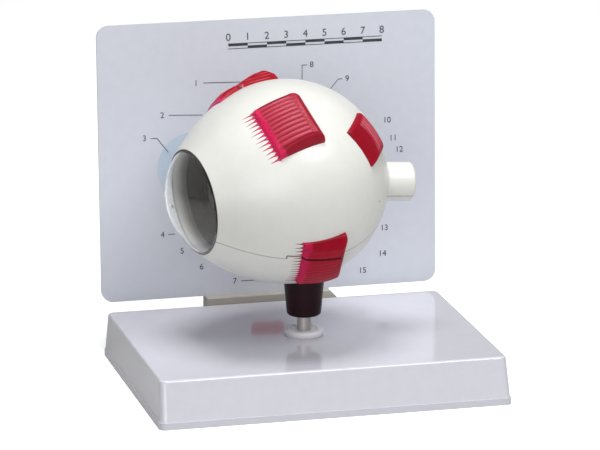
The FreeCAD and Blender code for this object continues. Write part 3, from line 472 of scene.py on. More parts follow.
def inkDigits(text, u, v, size):
    curve = bpy.data.curves.new("digits", "FONT")
    curve.body, curve.size, curve.extrude = text, size, card["ink"]
    curve.align_x, curve.align_y = "CENTER", "CENTER"
    holder = bpy.data.objects.new("digits", curve)
    mesh = bpy.data.meshes.new_from_object(holder)
    points = [(u + p.co.x, v + p.co.y, card["proud"] + card["ink"] + p.co.z)
              for p in mesh.vertices]
    faces = [tuple(face.vertices) for face in mesh.polygons]
    bpy.data.objects.remove(holder)
    bpy.data.curves.remove(curve)
    bpy.data.meshes.remove(mesh)
    return points, faces


# one object from many small parts
def inkPiece(name, parts, material):
    points, faces = [], []
    for more, sides in parts:
        faces += [tuple(len(points) + k for k in side) for side in sides]
        points += [tuple(point) for point in more]
    meshPiece(name, onCard(points), faces, material, "card", "card_grey", flat=True)


# numbers with their lines and the scale bar, then the ring, the outlines and the red marks
def printCard():
    black = plastic("inkBlack", rgb(48, 50, 58), rgb(62, 64, 72), 0.4, skin=3.0, relief=0.002)
    blue = plastic("inkBlue", rgb(190, 208, 226), rgb(198, 214, 230), 0.4, relief=0.002)
    grey = plastic("inkGrey", rgb(150, 158, 172), rgb(160, 168, 182), 0.4, relief=0.002)
    red = plastic("inkRed", rgb(176, 44, 66), rgb(188, 60, 80), 0.4, relief=0.002)
    parts = []
    for text, (u, v), leader in callouts:
        parts.append(inkDigits(text, u, v, card["digits"]))
        parts += [inkLine(a, b, card["line"]) for a, b in zip(leader, leader[1:])]
    (u, v), long, tall = card["bar"], card["step"], card["barTall"]
    for k in range(card["steps"] + 1):
        here = u + k * long
        parts.append(inkDigits(str(k), here, v + card["digitsUp"], card["barDigits"]))
        if k < card["steps"]:
            level = v + (0.25 if k % 2 else 0.75) * tall
            parts.append(inkLine((here + card["stepGap"], level),
                                 (here + long - card["stepGap"], level), tall / 2))
    for level in (v, v + tall):
        parts.append(inkLine((u, level), (u + card["steps"] * long, level), card["line"]))
    inkPiece("cardNumbers", parts, black)
    inkPiece("cardRing", [inkRing(*card["ring"])], blue)
    inkPiece("cardOutline", [inkRing(*ring) for ring in card["outlines"]], grey)
    inkPiece("cardBars", [inkPill(a, b, card["redTall"]) for a, b in card["red"]], red)


printCard()
print("card is printed")

# The parting line steps up by a key between two places along the eye. The cornea's bore is
# painted grey within its radius and ahead of its back, as painted shade in that recess.
seam = {"back": -4.0, "front": 20.6, "step": 2.0, "line": 0.16, "bore": 24.75, "boreBack": 36.0,
        "brown": rgb(128, 110, 88), "keyBrown": rgb(84, 44, 42), "boreShade": rgb(142, 140, 134)}


# white shell: plastic with a thin brownish line at the parting, which steps up at the key,
# and painted shade grey inside the cornea's bore
def scleraMaterial(white, shade, roughness=0.28):
    material, tree, place = newMaterial("scleraWhite")
    skinned = useGroup(tree, moulding, Place=place)
    eye = useGroup(tree, eyePlace, Place=place)
    keyed = times(tree, calc(tree, "GREATER_THAN", eye["Ahead"], seam["back"]),
                  calc(tree, "LESS_THAN", eye["Ahead"], seam["front"]))
    offLine = calc(tree, "ABSOLUTE", scaled(tree, keyed, -seam["step"], eye["Up"]))
    offEnd = calc(tree, "MINIMUM", apart(tree, eye["Ahead"], seam["back"]),
                  apart(tree, eye["Ahead"], seam["front"]))
    offMiddle = apart(tree, eye["Up"], seam["step"] / 2)
    past = calc(tree, "MAXIMUM", calc(tree, "SUBTRACT", offMiddle, seam["step"] / 2), 0.0)
    near = calc(tree, "MINIMUM", offLine, scaled(tree, past, 20.0, offEnd))
    wander = scaled(tree, noise(tree, place, 0.5), 0.25, seam["line"] - 0.1)
    fade = scaled(tree, keyed, 0.2, calc(tree, "ADD", wander, 0.2))
    line = oneLess(tree, ramp(tree, near, wander, fade))
    brown = layered(tree, seam["brown"], (keyed, seam["keyBrown"]))
    # painted shade: grey inside the cornea's bore
    bore = ramp(tree, eye["Out"], seam["bore"], seam["bore"] - 0.3)
    ahead = ramp(tree, eye["Ahead"], seam["boreBack"], seam["boreBack"] + 0.5)
    tint = layered(tree, white, (skinned["Tone"], shade),
                   (line, scaled(tree, keyed, 0.3, 0.6), brown),
                   (bore, ahead, seam["boreShade"]))
    paint(tree, tint, skinned["Tone"], 0.005, roughness)
    return material


dress(scleraMaterial(rgb(230, 230, 225), rgb(228, 228, 223)), "sclera_lower", "sclera_upper")
dress(plastic("choroidBrown", rgb(96, 52, 40), rgb(78, 40, 32), 0.5), "choroid_lower",
      "choroid_upper")

# the nerve's angle off the eye's axis, the radii of its pale disc and of the yellow spot, and
# how far round the inner layer they lie apart
nerve = {"angle": 15.5, "disc": 3.9, "spotTurn": 16.0, "spot": 3.2, "inner": 41.5,
         "discYellow": rgb(240, 214, 150), "spotBrown": rgb(168, 84, 40)}


def alongEye(ahead, side, up):
    return tuple(ahead * eyeAxes[0] + side * eyeAxes[1] + up * eyeAxes[2])


# inner layer: orange red with fine mottling, a pale disc round the nerve's axis and a darker
# yellow spot at the pole's outer side, both by distance from their own direction
def retinaMaterial(orange, deep, pale):
    material, tree, place = newMaterial("retinaOrange")
    skinned = useGroup(tree, moulding, Place=place, Skin=0.9, Wave=0.1)
    eye = useGroup(tree, eyePlace, Place=place)
    fromCentre = vectorCalc(tree, "SUBTRACT", place, tuple(eyeCentre))

    def awayFrom(degrees):
        c, s = turned(degrees)
        ahead = vectorCalc(tree, "DOT_PRODUCT", fromCentre, alongEye(-c, s, 0))
        return times(tree, calc(tree, "ARCCOSINE", calc(tree, "DIVIDE", ahead, eye["Far"])),
                     nerve["inner"])

    mottle = noise(tree, place, 0.55, 5.0)
    spot = ramp(tree, awayFrom(nerve["angle"] - nerve["spotTurn"]), nerve["spot"], 0.6)
    disc = ramp(tree, awayFrom(nerve["angle"]), nerve["disc"] + 1.0, nerve["disc"])
    tint = layered(tree, orange, (ramp(tree, mottle, 0.35, 0.65), deep),
                   (skinned["Tone"], 0.4, pale), (spot, 0.7, nerve["spotBrown"]),
                   (disc, nerve["discYellow"]))
    paint(tree, tint, mottle, 0.15, 0.32, Coat_Weight=0.2, Normal=bump(tree, mottle, 0.05))
    return material


# ring of muscle and its fins: red brown, streaked outwards from the eye's axis
def ciliaryMaterial(dark, light):
    material, tree, place = newMaterial("ciliaryRed")
    eye = useGroup(tree, eyePlace, Place=place)
    streaks = stretched(tree, times(tree, eye["Round"], 14.0), times(tree, eye["Out"], 0.25), 4.0)
    tint = layered(tree, dark, (ramp(tree, streaks, 0.3, 0.7), light))
    paint(tree, tint, streaks, 0.2, 0.3, Coat_Weight=0.2, Normal=bump(tree, streaks, 0.08))
    return material


iris = {"pupil": 7.2, "collar": 10.5, "rim": 22.0, "dark": rgb(14, 9, 8), "light": rgb(38, 25, 19),
        "collarBrown": rgb(88, 64, 46), "edge": rgb(20, 15, 14)}


# iris: dark brown with fine fibres out from the pupil, a paler collar, and dark at its rim and
# round the pupil
def irisMaterial():
    material, tree, place = newMaterial("irisBrown")
    eye = useGroup(tree, eyePlace, Place=place)
    fibres = stretched(tree, times(tree, eye["Round"], 22.0), times(tree, eye["Out"], 0.3), 5.0)
    collar = ramp(tree, apart(tree, eye["Out"], iris["collar"]), 2.0, 0.0)
    edge = calc(tree, "MAXIMUM", ramp(tree, eye["Out"], iris["rim"] - 3.0, iris["rim"]),
                ramp(tree, eye["Out"], iris["pupil"] + 7.0, iris["pupil"] + 1.0))
    tint = layered(tree, iris["dark"], (ramp(tree, fibres, 0.35, 0.65), iris["light"]),
                   (collar, fibres, 0.6, iris["collarBrown"]), (edge, 0.8, iris["edge"]))
    paint(tree, tint, fibres, 0.2, 0.6, Specular_IOR_Level=0.02, Normal=bump(tree, fibres, 0.1))
    return material


# the cornea's frosted skirt: where it ends ahead, and where its grey, painted shade dark deep
# in the bore, turns pale
frost = {"end": 47.4, "share": 0.85, "from": 41.0, "to": 46.5, "dark": rgb(98, 96, 92),
         "pale": rgb(200, 199, 194)}


# clear cast plastic, which lets shadow rays through, with the frosted skirt if it has one,
# greyed with painted shade that deepens into the bore
def clearPlastic(name, tint, roughness, ior, frosted=False):
    material, tree, place = newMaterial(name)
    skinned = useGroup(tree, moulding, Place=place, Skin=0.6, Wave=0.05)
    rough = scaled(tree, skinned["Tone"], 0.015, roughness)
    glass = principled(tree, Base_Color=tint, Roughness=rough, Transmission_Weight=1.0, IOR=ior,
                       Normal=bump(tree, skinned["Height"], 0.008, 0.3))
    through = put(tree, "ShaderNodeBsdfTransparent", {"Color": (0.93, 0.93, 0.93, 1)})
    sight = put(tree, "ShaderNodeLightPath").outputs
    shader = mixShaders(tree, sight["Is Shadow Ray"], glass, through.outputs[0])
    if frosted:
        ahead = useGroup(tree, eyePlace, Place=place)["Ahead"]
        share = times(tree, ramp(tree, ahead, frost["end"], frost["end"] - 0.5), frost["share"])
        # painted shade: dark deep in the bore, pale towards the skirt's front
        grey = layered(tree, frost["dark"],
                       (ramp(tree, ahead, frost["from"], frost["to"]), frost["pale"]))
        shader = mixShaders(tree, share, shader,
                            principled(tree, Base_Color=grey, Roughness=0.5))
    finish(tree, shader)
    return material


arteryRed = plastic("arteryRed", rgb(190, 30, 34), rgb(160, 22, 28), 0.35)
veinBlue = plastic("veinBlue", rgb(40, 60, 150), rgb(32, 46, 120), 0.35)
dress(retinaMaterial(rgb(216, 118, 78), rgb(196, 96, 64), rgb(226, 134, 92)), "retina_lower",
      "retina_upper")
dress(ciliaryMaterial(rgb(70, 26, 24), rgb(120, 52, 42)), "ciliary_body_lower",
      "ciliary_body_upper")
dress(plastic("nerveYellow", rgb(232, 208, 140), rgb(220, 192, 120), 0.4, skin=2.5,
              relief=0.06), "nerve_core_lower", "nerve_core_upper")
dress(irisMaterial(), "iris")
dress(arteryRed, "central_retinal_artery")
dress(veinBlue, "central_retinal_vein")
dress(clearPlastic("corneaClear", (0.96, 0.97, 0.97, 1), 0.01, 1.47, True), "cornea")
dress(clearPlastic("lensClear", (0.97, 0.97, 0.95, 1), 0.02, 1.49), "lens")
print("materials are on")

ball = {"radius": 47.25, "swellAngle": 14.2, "swellRadius": 73.4, "flareAngle": 40.2}


# distance from the centre to the ball along unit vectors: a sphere behind, a flatter arc
# ahead of the swell angle, then a cone
def ballReach(direction):
    ahead, out = direction[..., 0], np.hypot(direction[..., 1], direction[..., 2])
    join, flare = math.radians(ball["swellAngle"]), math.radians(ball["flareAngle"])
    centre = (ball["radius"] - ball["swellRadius"]) * np.array([math.sin(join), math.cos(join)])
    across = ahead * centre[0] + out * centre[1]
    arc = across + np.sqrt(across ** 2 - centre @ centre + ball["swellRadius"] ** 2)
    normal = np.array([math.sin(flare), math.cos(flare)])
    start = centre + ball["swellRadius"] * normal
    cone = (start @ normal) / np.maximum(ahead * normal[0] + out * normal[1], 0.2)
    reach = np.where(np.arctan2(ahead, out) < join, ball["radius"], arc)
    return np.where(arc * ahead > start[0], cone, reach)


def turnMatrix(axis, degrees):
    c, s = turned(degrees)
    return {"x": np.array([[1, 0, 0], [0, c, -s], [0, s, c]]),
            "y": np.array([[c, 0, s], [0, 1, 0], [-s, 0, c]]),
            "z": np.array([[c, -s, 0], [s, c, 0], [0, 0, 1]])}[axis]


# the eye's axes in millimetres to the frame in metres
def toWorld(points):
    return (eyeCentre + points @ eyeAxes) * mm


# outline of a turned piece: radius and height of each corner, and how far it is rounded
def roundedOutline(corners, steps=5):
    outline = []
    for k, (radius, height, cut) in enumerate(corners):
        here = np.array([radius, height])
        before, after = (np.array(corners[(k + j) % len(corners)][:2]) - here for j in (-1, 1))
        start = here + before / np.hypot(*before) * cut
        end = here + after / np.hypot(*after) * cut
        for t in np.linspace(0, 1, steps if cut else 1):
            outline.append((1 - t) ** 2 * start + 2 * t * (1 - t) * here + t ** 2 * end)
    return np.array(outline)


# a rounded outline turned about the upright axis
def turnedPiece(name, corners, material, body, slot, node, around=96):
    outline = roundedOutline(corners)
    theta = np.linspace(0, 2 * math.pi, around, endpoint=False)
    points = np.stack([outline[:, :1] * np.cos(theta), outline[:, :1] * np.sin(theta),
                       outline[:, 1:] + 0 * theta], -1).reshape(-1, 3)
    faces = facingOut(points, ringFaces(len(outline), around))
    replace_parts(meshPiece(name, points * mm, faces, material, body, slot), node)


# bushing: flange with a shallow dish on the base, sleeve through it, bore for the rod
bushing = {"bore": 3.225, "sleeve": 6.0, "bottom": 5.0, "seat": 21.5, "flange": 9.1,
           "rim": 24.7, "dish": 6.4, "dishSlope": 0.8, "floor": 24.1}


def bushingMesh():
    b = bushing
    corners = [(b["bore"], b["bottom"], 0.2), (b["sleeve"], b["bottom"], 0.3),
               (b["sleeve"], b["seat"], 0), (b["flange"], b["seat"], 0),
               (b["flange"], b["rim"], 1.2), (b["dish"], b["rim"], 0.3),
               (b["dish"] - b["dishSlope"], b["floor"], 0.3), (b["bore"], b["floor"], 0.15)]
    turnedPiece("bushingFlange", corners, bushingWhite, "base", "bushing_white", "rod_bushing")


bushingMesh()

padSizes = {"crown": 50.0, "groove": 0.7, "border": 1.0, "foot": 0.6, "nose": 3.6, "edge": 0.7,
            "soften": 0.9, "rows": 84, "perRib": 12, "sink": 0.12, "rearPlain": 1.4,
            "ribEnd": 1.3, "crowding": 0.06, "wallLevels": (0.08, 0.35, 0.75), "thinnest": 0.1}

padWords = ("ahead", "turn", "swing", "half", "rear", "front", "width", "slope", "bevel",
            "noseCut", "side", "corner", "longer", "relief", "thin", "pitch")


# where a pad's middle lies, how it is turned, half its length in degrees, the heights of its
# rear and front ends, its width, the plain slope on one side, its rear bevel, what is cut off
# its front edge, which side slopes, the radius of its rear corner, what is added to its
# front in degrees, how deep its grooves are, over what length its front thins, and how far
# apart its ribs are
def padShape(*values, corner=5.0, longer=0.0, relief=1.0, thin=1.8, pitch=2.5):
    return dict(zip(padWords, (*values, corner, longer, relief, thin, pitch)))


muscles = {
    "superiorRectus": padShape(13.3, 4.0, 3.0, 14.3, 4.6, 2.9, 28.2, 3.4, 3.5, 1.5, 1),
    "inferiorRectus": padShape(13.3, 184.0, 3.0, 14.3, 4.6, 2.9, 28.2, 3.4, 3.5, 1.5, 1),
    "medialRectus": padShape(3.8, 95.2, 7.2, 13.0, 4.5, 1.9, 31.2, 3.0, 4.0, 1.0, -1,
                             corner=9.0, relief=0.12),
    "lateralRectus": padShape(2.4, -75.7, 0.0, 11.6, 7.2, 2.2, 30.8, 1.6, 6.2, 1.4, 1),
    "lateralTendon": padShape(23.2, -71.5, 0.0, 8.2, 2.9, 2.9, 26.0, 1.2, 1.4, 0.9, 1,
                              longer=-1.0, thin=8.0),
    "superiorOblique": padShape(-36.2, 21.3, -56.8, 11.3, 2.4, 2.6, 19.6, 8.5, 1.6, 1.3, 1,
                                longer=2.0, pitch=2.1),
    "inferiorOblique": padShape(-34.0, -131.0, 56.8, 11.3, 2.4, 2.6, 19.6, 8.5, 1.6, 1.3, 1,
                                pitch=2.1),
}


# the lower of two heights, rounded where they cross
def smoothMin(first, second, width):
    h = np.clip(0.5 + 0.5 * (second - first) / width, 0, 1)
    return second + (first - second) * h - width * h * (1 - h)


def padAxes(pad):
    return (turnMatrix("x", -pad["turn"]) @ turnMatrix("y", pad["ahead"])
            @ turnMatrix("z", pad["swing"]))


# centre of the pad's long curve in its own plane, and the angles of its two ends
def crownCentre(pad):
    c, s = turned(pad["half"])
    back = np.array([-s, c]) * (ball["radius"] + pad["rear"])
    tip = np.array([s, c]) * (ball["radius"] + pad["front"])
    chord = tip - back
    inward = np.array([chord[1], -chord[0]]) / np.hypot(*chord)
    centre = (back + tip) / 2 + inward * math.sqrt(padSizes["crown"] ** 2 - chord @ chord / 4)
    return centre, [math.atan2(*(end - centre)) for end in (back, tip)], back[0]


# point at an angle about the crown's centre, across the fibres by y, at a reach
def padPoint(pad, centre, angle, y, reach):
    flat = np.stack([centre[0] + reach * np.sin(angle), pad["side"] * y + 0 * reach,
                     centre[1] + reach * np.cos(angle)], -1)
    return flat @ padAxes(pad).T


# reach at which a pad's ray meets the ball, found by a few corrections
def footReach(pad, centre, angle, y, lift=0.0):
    reach = np.sqrt(np.maximum(ball["radius"] ** 2 - y ** 2, 1)) - centre[1] + 0 * angle
    for step in range(6):
        point = padPoint(pad, centre, angle, y, reach)
        far = np.linalg.norm(point, axis=-1)
        reach = reach + (ballReach(point / far[..., None]) + lift - far) * 1.02
    return reach


# row of rounded ribs between two edges, each a little different: 0 in a groove, 1 on a crest
def ribRise(y, low, high, pitch, chance):
    count = round((high - low) / pitch)
    place = (y - low) / (high - low) * count
    rib = np.clip(place.astype(int), 0, count - 1)
    across = 2 * (place - rib) - 1
    rough = chance.uniform(0, 0.22, count)
    inside = (place >= 0) & (place <= count)
    return np.where(inside, (1 - np.abs(across) ** 2.6) * (1 - rough[rib]), 0)


# reach of the outer face: the crown with its ribs, cut by the rear bevel, the front nose and
# the slope; each cut is a plane, so a straight line across the angle
def padTop(pad, centre, ends, angle, y, seed):
    crown, groove = padSizes["crown"], padSizes["groove"]
    low, high = -pad["width"] / 2 + padSizes["border"], pad["width"] / 2 - pad["slope"]
    crest = ribRise(y, low, high, pad["pitch"], np.random.default_rng(seed))

    def endCut(turn, cut, long):
        climb = (cut + groove) / long
        return (crown - cut) / np.maximum(np.cos(turn) - climb * np.sin(turn), 0.3)

    bevelled = endCut(angle - ends[0], pad["bevel"], pad["bevel"])
    nosed = endCut(ends[1] - angle, pad["noseCut"], padSizes["nose"])
    foot = math.sqrt(ball["radius"] ** 2 - pad["width"] ** 2 / 4) + padSizes["foot"]
    middle = ball["radius"] + (pad["rear"] + pad["front"]) / 2
    climb = (math.sqrt(middle ** 2 - (pad["width"] / 2 - pad["slope"]) ** 2) - foot) / pad["slope"]
    sloped = (foot + (pad["width"] / 2 - y) * climb - centre[1]) / np.cos(angle)
    smooth = np.sqrt((crown - 0.3 * groove) ** 2 - y ** 2)
    cuts = np.minimum(np.minimum(bevelled, nosed), sloped)
    ribbed = np.clip((cuts - smooth) / padSizes["soften"], 0, 1)
    behind = crown * (angle - ends[0]) - pad["bevel"] - padSizes["rearPlain"]
    reached = np.clip(behind / padSizes["ribEnd"], 0, 1) ** 0.5
    rib = crest * reached + 0.55 * (1 - reached)
    crest = rib * ribbed
    depth = groove * pad["relief"]
    top = np.sqrt((crown - 0.08 * groove - 0.92 * depth * (1 - crest)) ** 2 - y ** 2)
    for cut in (bevelled, nosed, sloped):
        top = smoothMin(top, cut, padSizes["soften"])
    return top, crest, rib, np.clip(1.4 - ribbed - 0.4 * reached, 0, 1)


# across value at which a ray's point lies on the stepped parting surface
def seamAcross(pad, centre, angle, reachOf, gap):
    y = np.zeros_like(angle)
    for step in range(8):
        point = padPoint(pad, centre, angle, y, reachOf(y))
        keyed = (point[..., 0] > seam["back"]) & (point[..., 0] < seam["front"])
        target = np.where(keyed, seam["step"], 0.0) + gap
        y = y + (target - point[..., 2]) / (padAxes(pad)[2, 1] * pad["side"])
    return y


# A ribbed pad as a closed surface: a grid of angle by distance across for the outer face,
# another on the ball under it, and rings of walls between their rims.
def padMesh(name, muscle, material, body, node, half=None, gap=0.0):
    pad = muscles[muscle]
    centre, ends, back = crownCentre(pad)
    ends[1] += math.radians(pad["longer"])
    width, corner, edge = pad["width"], pad["corner"], padSizes["edge"]
    crown, rows, levels = padSizes["crown"], padSizes["rows"], padSizes["wallLevels"]
    seed = len(muscle) + int(pad["turn"] % 9)
    count = round((width - padSizes["border"] - pad["slope"]) / pad["pitch"])
    columns = (count + 1) * padSizes["perRib"]
    share = np.linspace(0, 1, rows)
    share = share - padSizes["crowding"] * np.sin(2 * math.pi * share)
    angle = (ends[0] + (ends[1] - ends[0]) * share)[:, None]
    into = np.clip(back + corner - centre[0] - crown * np.sin(angle), 0, corner)
    low = lowFoot = yLow = -width / 2 + corner - np.sqrt(corner ** 2 - into ** 2)
    high = highFoot = yHigh = np.full_like(yLow, width / 2)
    seamSide = 0
    if half:
        upIsPlus = padAxes(pad)[2, 1] * pad["side"] > 0
        seamSide = -1 if (half == "upper") == upIsPlus else 1
        cut = seamAcross(pad, centre, angle,
                         lambda y: padTop(pad, centre, ends, angle, y, seed)[0], gap)
        cutFoot = seamAcross(pad, centre, angle, lambda y: footReach(pad, centre, angle, y), gap)
        if seamSide < 0:
            low, lowFoot = np.maximum(cut, yLow), np.maximum(cutFoot, yLow)
        else:
            high, highFoot = np.minimum(cut, yHigh), np.minimum(cutFoot, yHigh)
    across = np.linspace(0, 1, columns)[None, :]
    y, yUnder = low + (high - low) * across, lowFoot + (highFoot - lowFoot) * across
    top, crest, rib, plain = padTop(pad, centre, ends, angle, y, seed)
    farFromSeam = 99 + 0 * y
    parting = y - low if seamSide < 0 else high - y if seamSide > 0 else farFromSeam
    foot = footReach(pad, centre, angle, yUnder) - padSizes["sink"]
    along = crown * (ends[1] - angle) + 0 * y
    behind = crown * (angle - ends[0]) + 0 * y
    drop = 0
    for distance in (along, behind, (y - low) * (4 if seamSide < 0 else 1),
                     (high - y) * (4 if seamSide > 0 else 1)):
        near = np.clip(edge - distance, 0, edge)
        drop = drop + edge - np.sqrt(edge ** 2 - near ** 2)
    thin = np.clip(1 - along / pad["thin"], 0, 1)
    top = foot + np.maximum(top - drop - foot, padSizes["thinnest"]) * (1 - 0.6 * thin ** 1.5)
    climb = np.clip((width / 2 - y) / pad["slope"], 0, 2)
    upper = padPoint(pad, centre, angle, y, top).reshape(-1, 3)
    lower = padPoint(pad, centre, angle, yUnder, foot).reshape(-1, 3)
    rim = np.concatenate([np.arange(columns), np.arange(1, rows) * columns + columns - 1,
                          (rows - 1) * columns + np.arange(columns - 2, -1, -1),
                          np.arange(rows - 2, 0, -1) * columns])
    rings = [upper[rim] + (lower[rim] - upper[rim]) * level for level in levels]
    points = np.concatenate([upper, *rings, lower])
    total, size = rows * columns, len(rim)
    underFirst = total + len(levels) * size
    ringAt = [rim, *(total + k * size + np.arange(size) for k in range(len(levels))),
              underFirst + rim]
    faces = [gridFaces(rows, columns), gridFaces(rows, columns, underFirst)[:, ::-1]]
    for above, below in zip(ringAt, ringAt[1:]):
        faces.append(np.stack([above, np.roll(above, -1), np.roll(below, -1), below], -1))

    def spread(values, ringValue=None):
        flat = (values + 0 * y).ravel()
        wall = flat[rim] if ringValue is None else np.full(size, ringValue)
        under = flat if ringValue is None else np.full(total, ringValue)
        return np.concatenate([flat, *[wall] * len(levels), under])

    piece = meshPiece(name, toWorld(points), facingOut(points, np.concatenate(faces)), material,
                      body, "muscle_red", crest=spread(crest, 0.0), plain=spread(plain, 1.0),
                      rib=spread(rib), parting=spread(parting), climb=spread(climb),
                      along=spread(along), behind=spread(behind), across=spread(y))
    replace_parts(piece, node)


# reds laid over a muscle's paint: groove, plain and parting are painted shade, in the grooves, on
# the plain walls and along the parting; rear is a lighter red near the rear end; tone and
# betweenTeeth are the muscle's own colour
muscleReds = {"groove": rgb(104, 4, 30), "plain": rgb(140, 8, 30), "rear": rgb(188, 26, 52),
              "tone": rgb(176, 18, 42), "betweenTeeth": rgb(176, 18, 62),
              "parting": rgb(86, 4, 20)}


# Painted muscle: a painted highlight on the crests and painted shade in the grooves, fibres
# along the pad, painted shade where it is plain and along the parting, and a bright band
# with a ragged edge in front.
def muscleMaterial(name, body, bandColour, crestLight=0.5, grooveShade=0.9, bandShare=1.0,
                   bandLong=3.6, sideHighlights=0, crestHighlight=rgb(208, 78, 102), shine=0.3):
    material, tree, place = newMaterial(name)
    crest, rib, plain, parting, along, across, behind = (
        read(tree, label) for label in ("crest", "rib", "plain", "parting", "along", "across",
                                        "behind"))
    fibres = stretched(tree, times(tree, along, 0.14), times(tree, across, 2.2), 3.0)
    skinned = useGroup(tree, moulding, Place=place, Skin=1.4, Wave=0.3)
    ribbed = oneLess(tree, plain)
    lit = ramp(tree, fibres, 0.3, 0.6, 0.45, 1.0)
    # painted shade in the grooves between the ribs
    layers = [(ramp(tree, crest, 0.42, 0.04), ribbed, grooveShade, muscleReds["groove"]),
              # painted highlight on the crests of the ribs
              (calc(tree, "POWER", crest, 1.8), lit, ribbed, crestLight, crestHighlight),
              # painted shade on the plain walls and slopes
              (plain, 0.75, muscleReds["plain"]),
              (ramp(tree, behind, 2.6, 1.2), 0.25, muscleReds["rear"]),
              (skinned["Tone"], 0.2, muscleReds["tone"])]
    # painted highlight lines along the slope's wall
    if sideHighlights:
        wave = calc(tree, "SINE", times(tree, read(tree, "climb"), sideHighlights * math.pi))
        lines = calc(tree, "POWER", calc(tree, "ABSOLUTE", wave), 14.0)
        layers.append((lines, ramp(tree, fibres, 0.35, 0.55), ramp(tree, behind, 1.0, 4.0), 0.55,
                       crestHighlight))
    ragged = scaled(tree, fibres, 3.4, scaled(tree, rib, 1.4, along))
    band = ramp(tree, ragged, bandLong + 3.2, bandLong + 1.4)
    teeth = layered(tree, bandColour, (ramp(tree, rib, 0.7, 0.0), 0.6,
                                       ramp(tree, along, 0.4, 2.2), muscleReds["betweenTeeth"]))
    # the bright band in front, then painted shade along the parting, in the gap between the halves
    layers += [(band, bandShare, teeth),
               (ramp(tree, parting, 0.75, 0.3), 0.9, muscleReds["parting"])]
    height = scaled(tree, skinned["Height"], 0.3, fibres)
    paint(tree, layered(tree, body, *layers), fibres, 0.12, 0.3, Specular_IOR_Level=shine,
          Normal=bump(tree, height, 0.1, 0.6))
    return material


hotPink, palePink = rgb(232, 36, 96), rgb(216, 120, 140)
rectusRed = muscleMaterial("rectusRed", rgb(166, 18, 50), hotPink)
medialRed = muscleMaterial("medialRed", rgb(166, 8, 38), rgb(204, 30, 84), crestLight=0.05,
                           grooveShade=0.15, bandShare=0.9, shine=0.12)
lateralRed = muscleMaterial("lateralRed", rgb(176, 10, 26), palePink, crestLight=0.3,
                            bandShare=0.6, bandLong=0.8, sideHighlights=3,
                            crestHighlight=rgb(222, 110, 122), shine=0.15)
tendonRed = muscleMaterial("tendonRed", rgb(184, 10, 38), rgb(206, 60, 114), crestLight=0.2,
                           grooveShade=0.5, bandShare=0.9, bandLong=3.0, shine=0.15)
obliqueRed = muscleMaterial("obliqueRed", rgb(164, 16, 38), hotPink, crestLight=0.85,
                            bandShare=0.0, crestHighlight=rgb(220, 130, 146), shine=0.2)

# each pad's muscle, paint, body and node, the half it is cut to and the gap it leaves there
pads = {
    "superiorRectusPad": ("superiorRectus", rectusRed, "upper_half", "superior_rectus"),
    "superiorObliquePad": ("superiorOblique", obliqueRed, "upper_half", "superior_oblique"),
    "lateralTendonPad": ("lateralTendon", tendonRed, "upper_half", "lateral_rectus_tendon",
                         "upper"),
    "lateralRectusUpperPad": ("lateralRectus", lateralRed, "upper_half",
                              "lateral_rectus_upper", "upper", 0.2),
    "medialRectusUpperPad": ("medialRectus", medialRed, "upper_half", "medial_rectus_upper",
                             "upper", 0.35),
    "medialRectusLowerPad": ("medialRectus", medialRed, "eye", "medial_rectus_lower", "lower"),
    "lateralRectusLowerPad": ("lateralRectus", lateralRed, "eye", "lateral_rectus_lower",
                              "lower"),
    "inferiorRectusPad": ("inferiorRectus", rectusRed, "eye", "inferior_rectus"),
    "inferiorObliquePad": ("inferiorOblique", obliqueRed, "eye", "inferior_oblique"),
}
for name, values in pads.items():
    padMesh(name, *values)
print("muscle pads are on")

streaks = {"long": 5.2, "wide": 0.56, "root": 0.75, "rootEnd": 0.36, "thick": 0.2, "steps": 12,
           "around": 8, "under": 0.6, "apart": 2.15, "sideGap": 0.7, "seamGap": 0.9}


# Thin fins on the ball in front of a pad: a flat oval carried along each line, its width
# falling to nothing at the tip. Only those on the wanted half are made.
def streakMesh(name, muscle, material, body, half=None, long=None, wide=None):
    pad = muscles[muscle]
    chance = np.random.default_rng(int(pad["turn"] % 97) + 3)
    count = int((pad["width"] - 1.0) / streaks["apart"]) + 1
    starts = np.linspace(-1, 1, count) * (pad["width"] / 2 - streaks["sideGap"])
    sizes = chance.uniform(0.84, 1.12, (3, count))
    bends = chance.uniform(-0.3, 0.3, count)
    flat = np.zeros(2)
    front = math.radians(pad["half"])
    if half:
        up = padPoint(pad, flat, front + 0 * starts, starts, footReach(pad, flat, front, starts))
        above = (up[:, 2] - seam["step"]) * (1 if half == "upper" else -1)
        wanted = above > streaks["seamGap"]
        starts, sizes, bends = starts[wanted], sizes[:, wanted], bends[wanted]
    number, steps, around = len(starts), streaks["steps"], streaks["around"]
    t = np.linspace(0, 1, steps)[None, :, None]
    theta = np.linspace(0, 2 * math.pi, around, endpoint=False)[None, None, :]
    reach = (long or streaks["long"]) * sizes[0][:, None, None]
    angle = front + (t * (reach + streaks["under"]) - streaks["under"]) / ball["radius"]
    taper = (wide or streaks["wide"]) * sizes[1][:, None, None] * (1 - 0.95 * t ** 1.2)
    taper = taper + streaks["root"] * np.clip(1 - t / streaks["rootEnd"], 0, 1) ** 1.5
    y = starts[:, None, None] + bends[:, None, None] * t ** 2 + taper * np.cos(theta)
    lift = streaks["thick"] * (1 - 0.7 * t) * np.maximum(np.sin(theta), -0.5)
    angle = angle + 0 * y
    points = padPoint(pad, flat, angle, y, footReach(pad, flat, angle, y, lift)).reshape(-1, 3)
    size = steps * around
    quads = facingOut(points[:size], tubeFaces(steps, around))
    faces = np.concatenate([quads + k * size for k in range(number)])
    meshPiece(name, toWorld(points), faces, material, body, "muscle_red", fade=t + 0 * y)


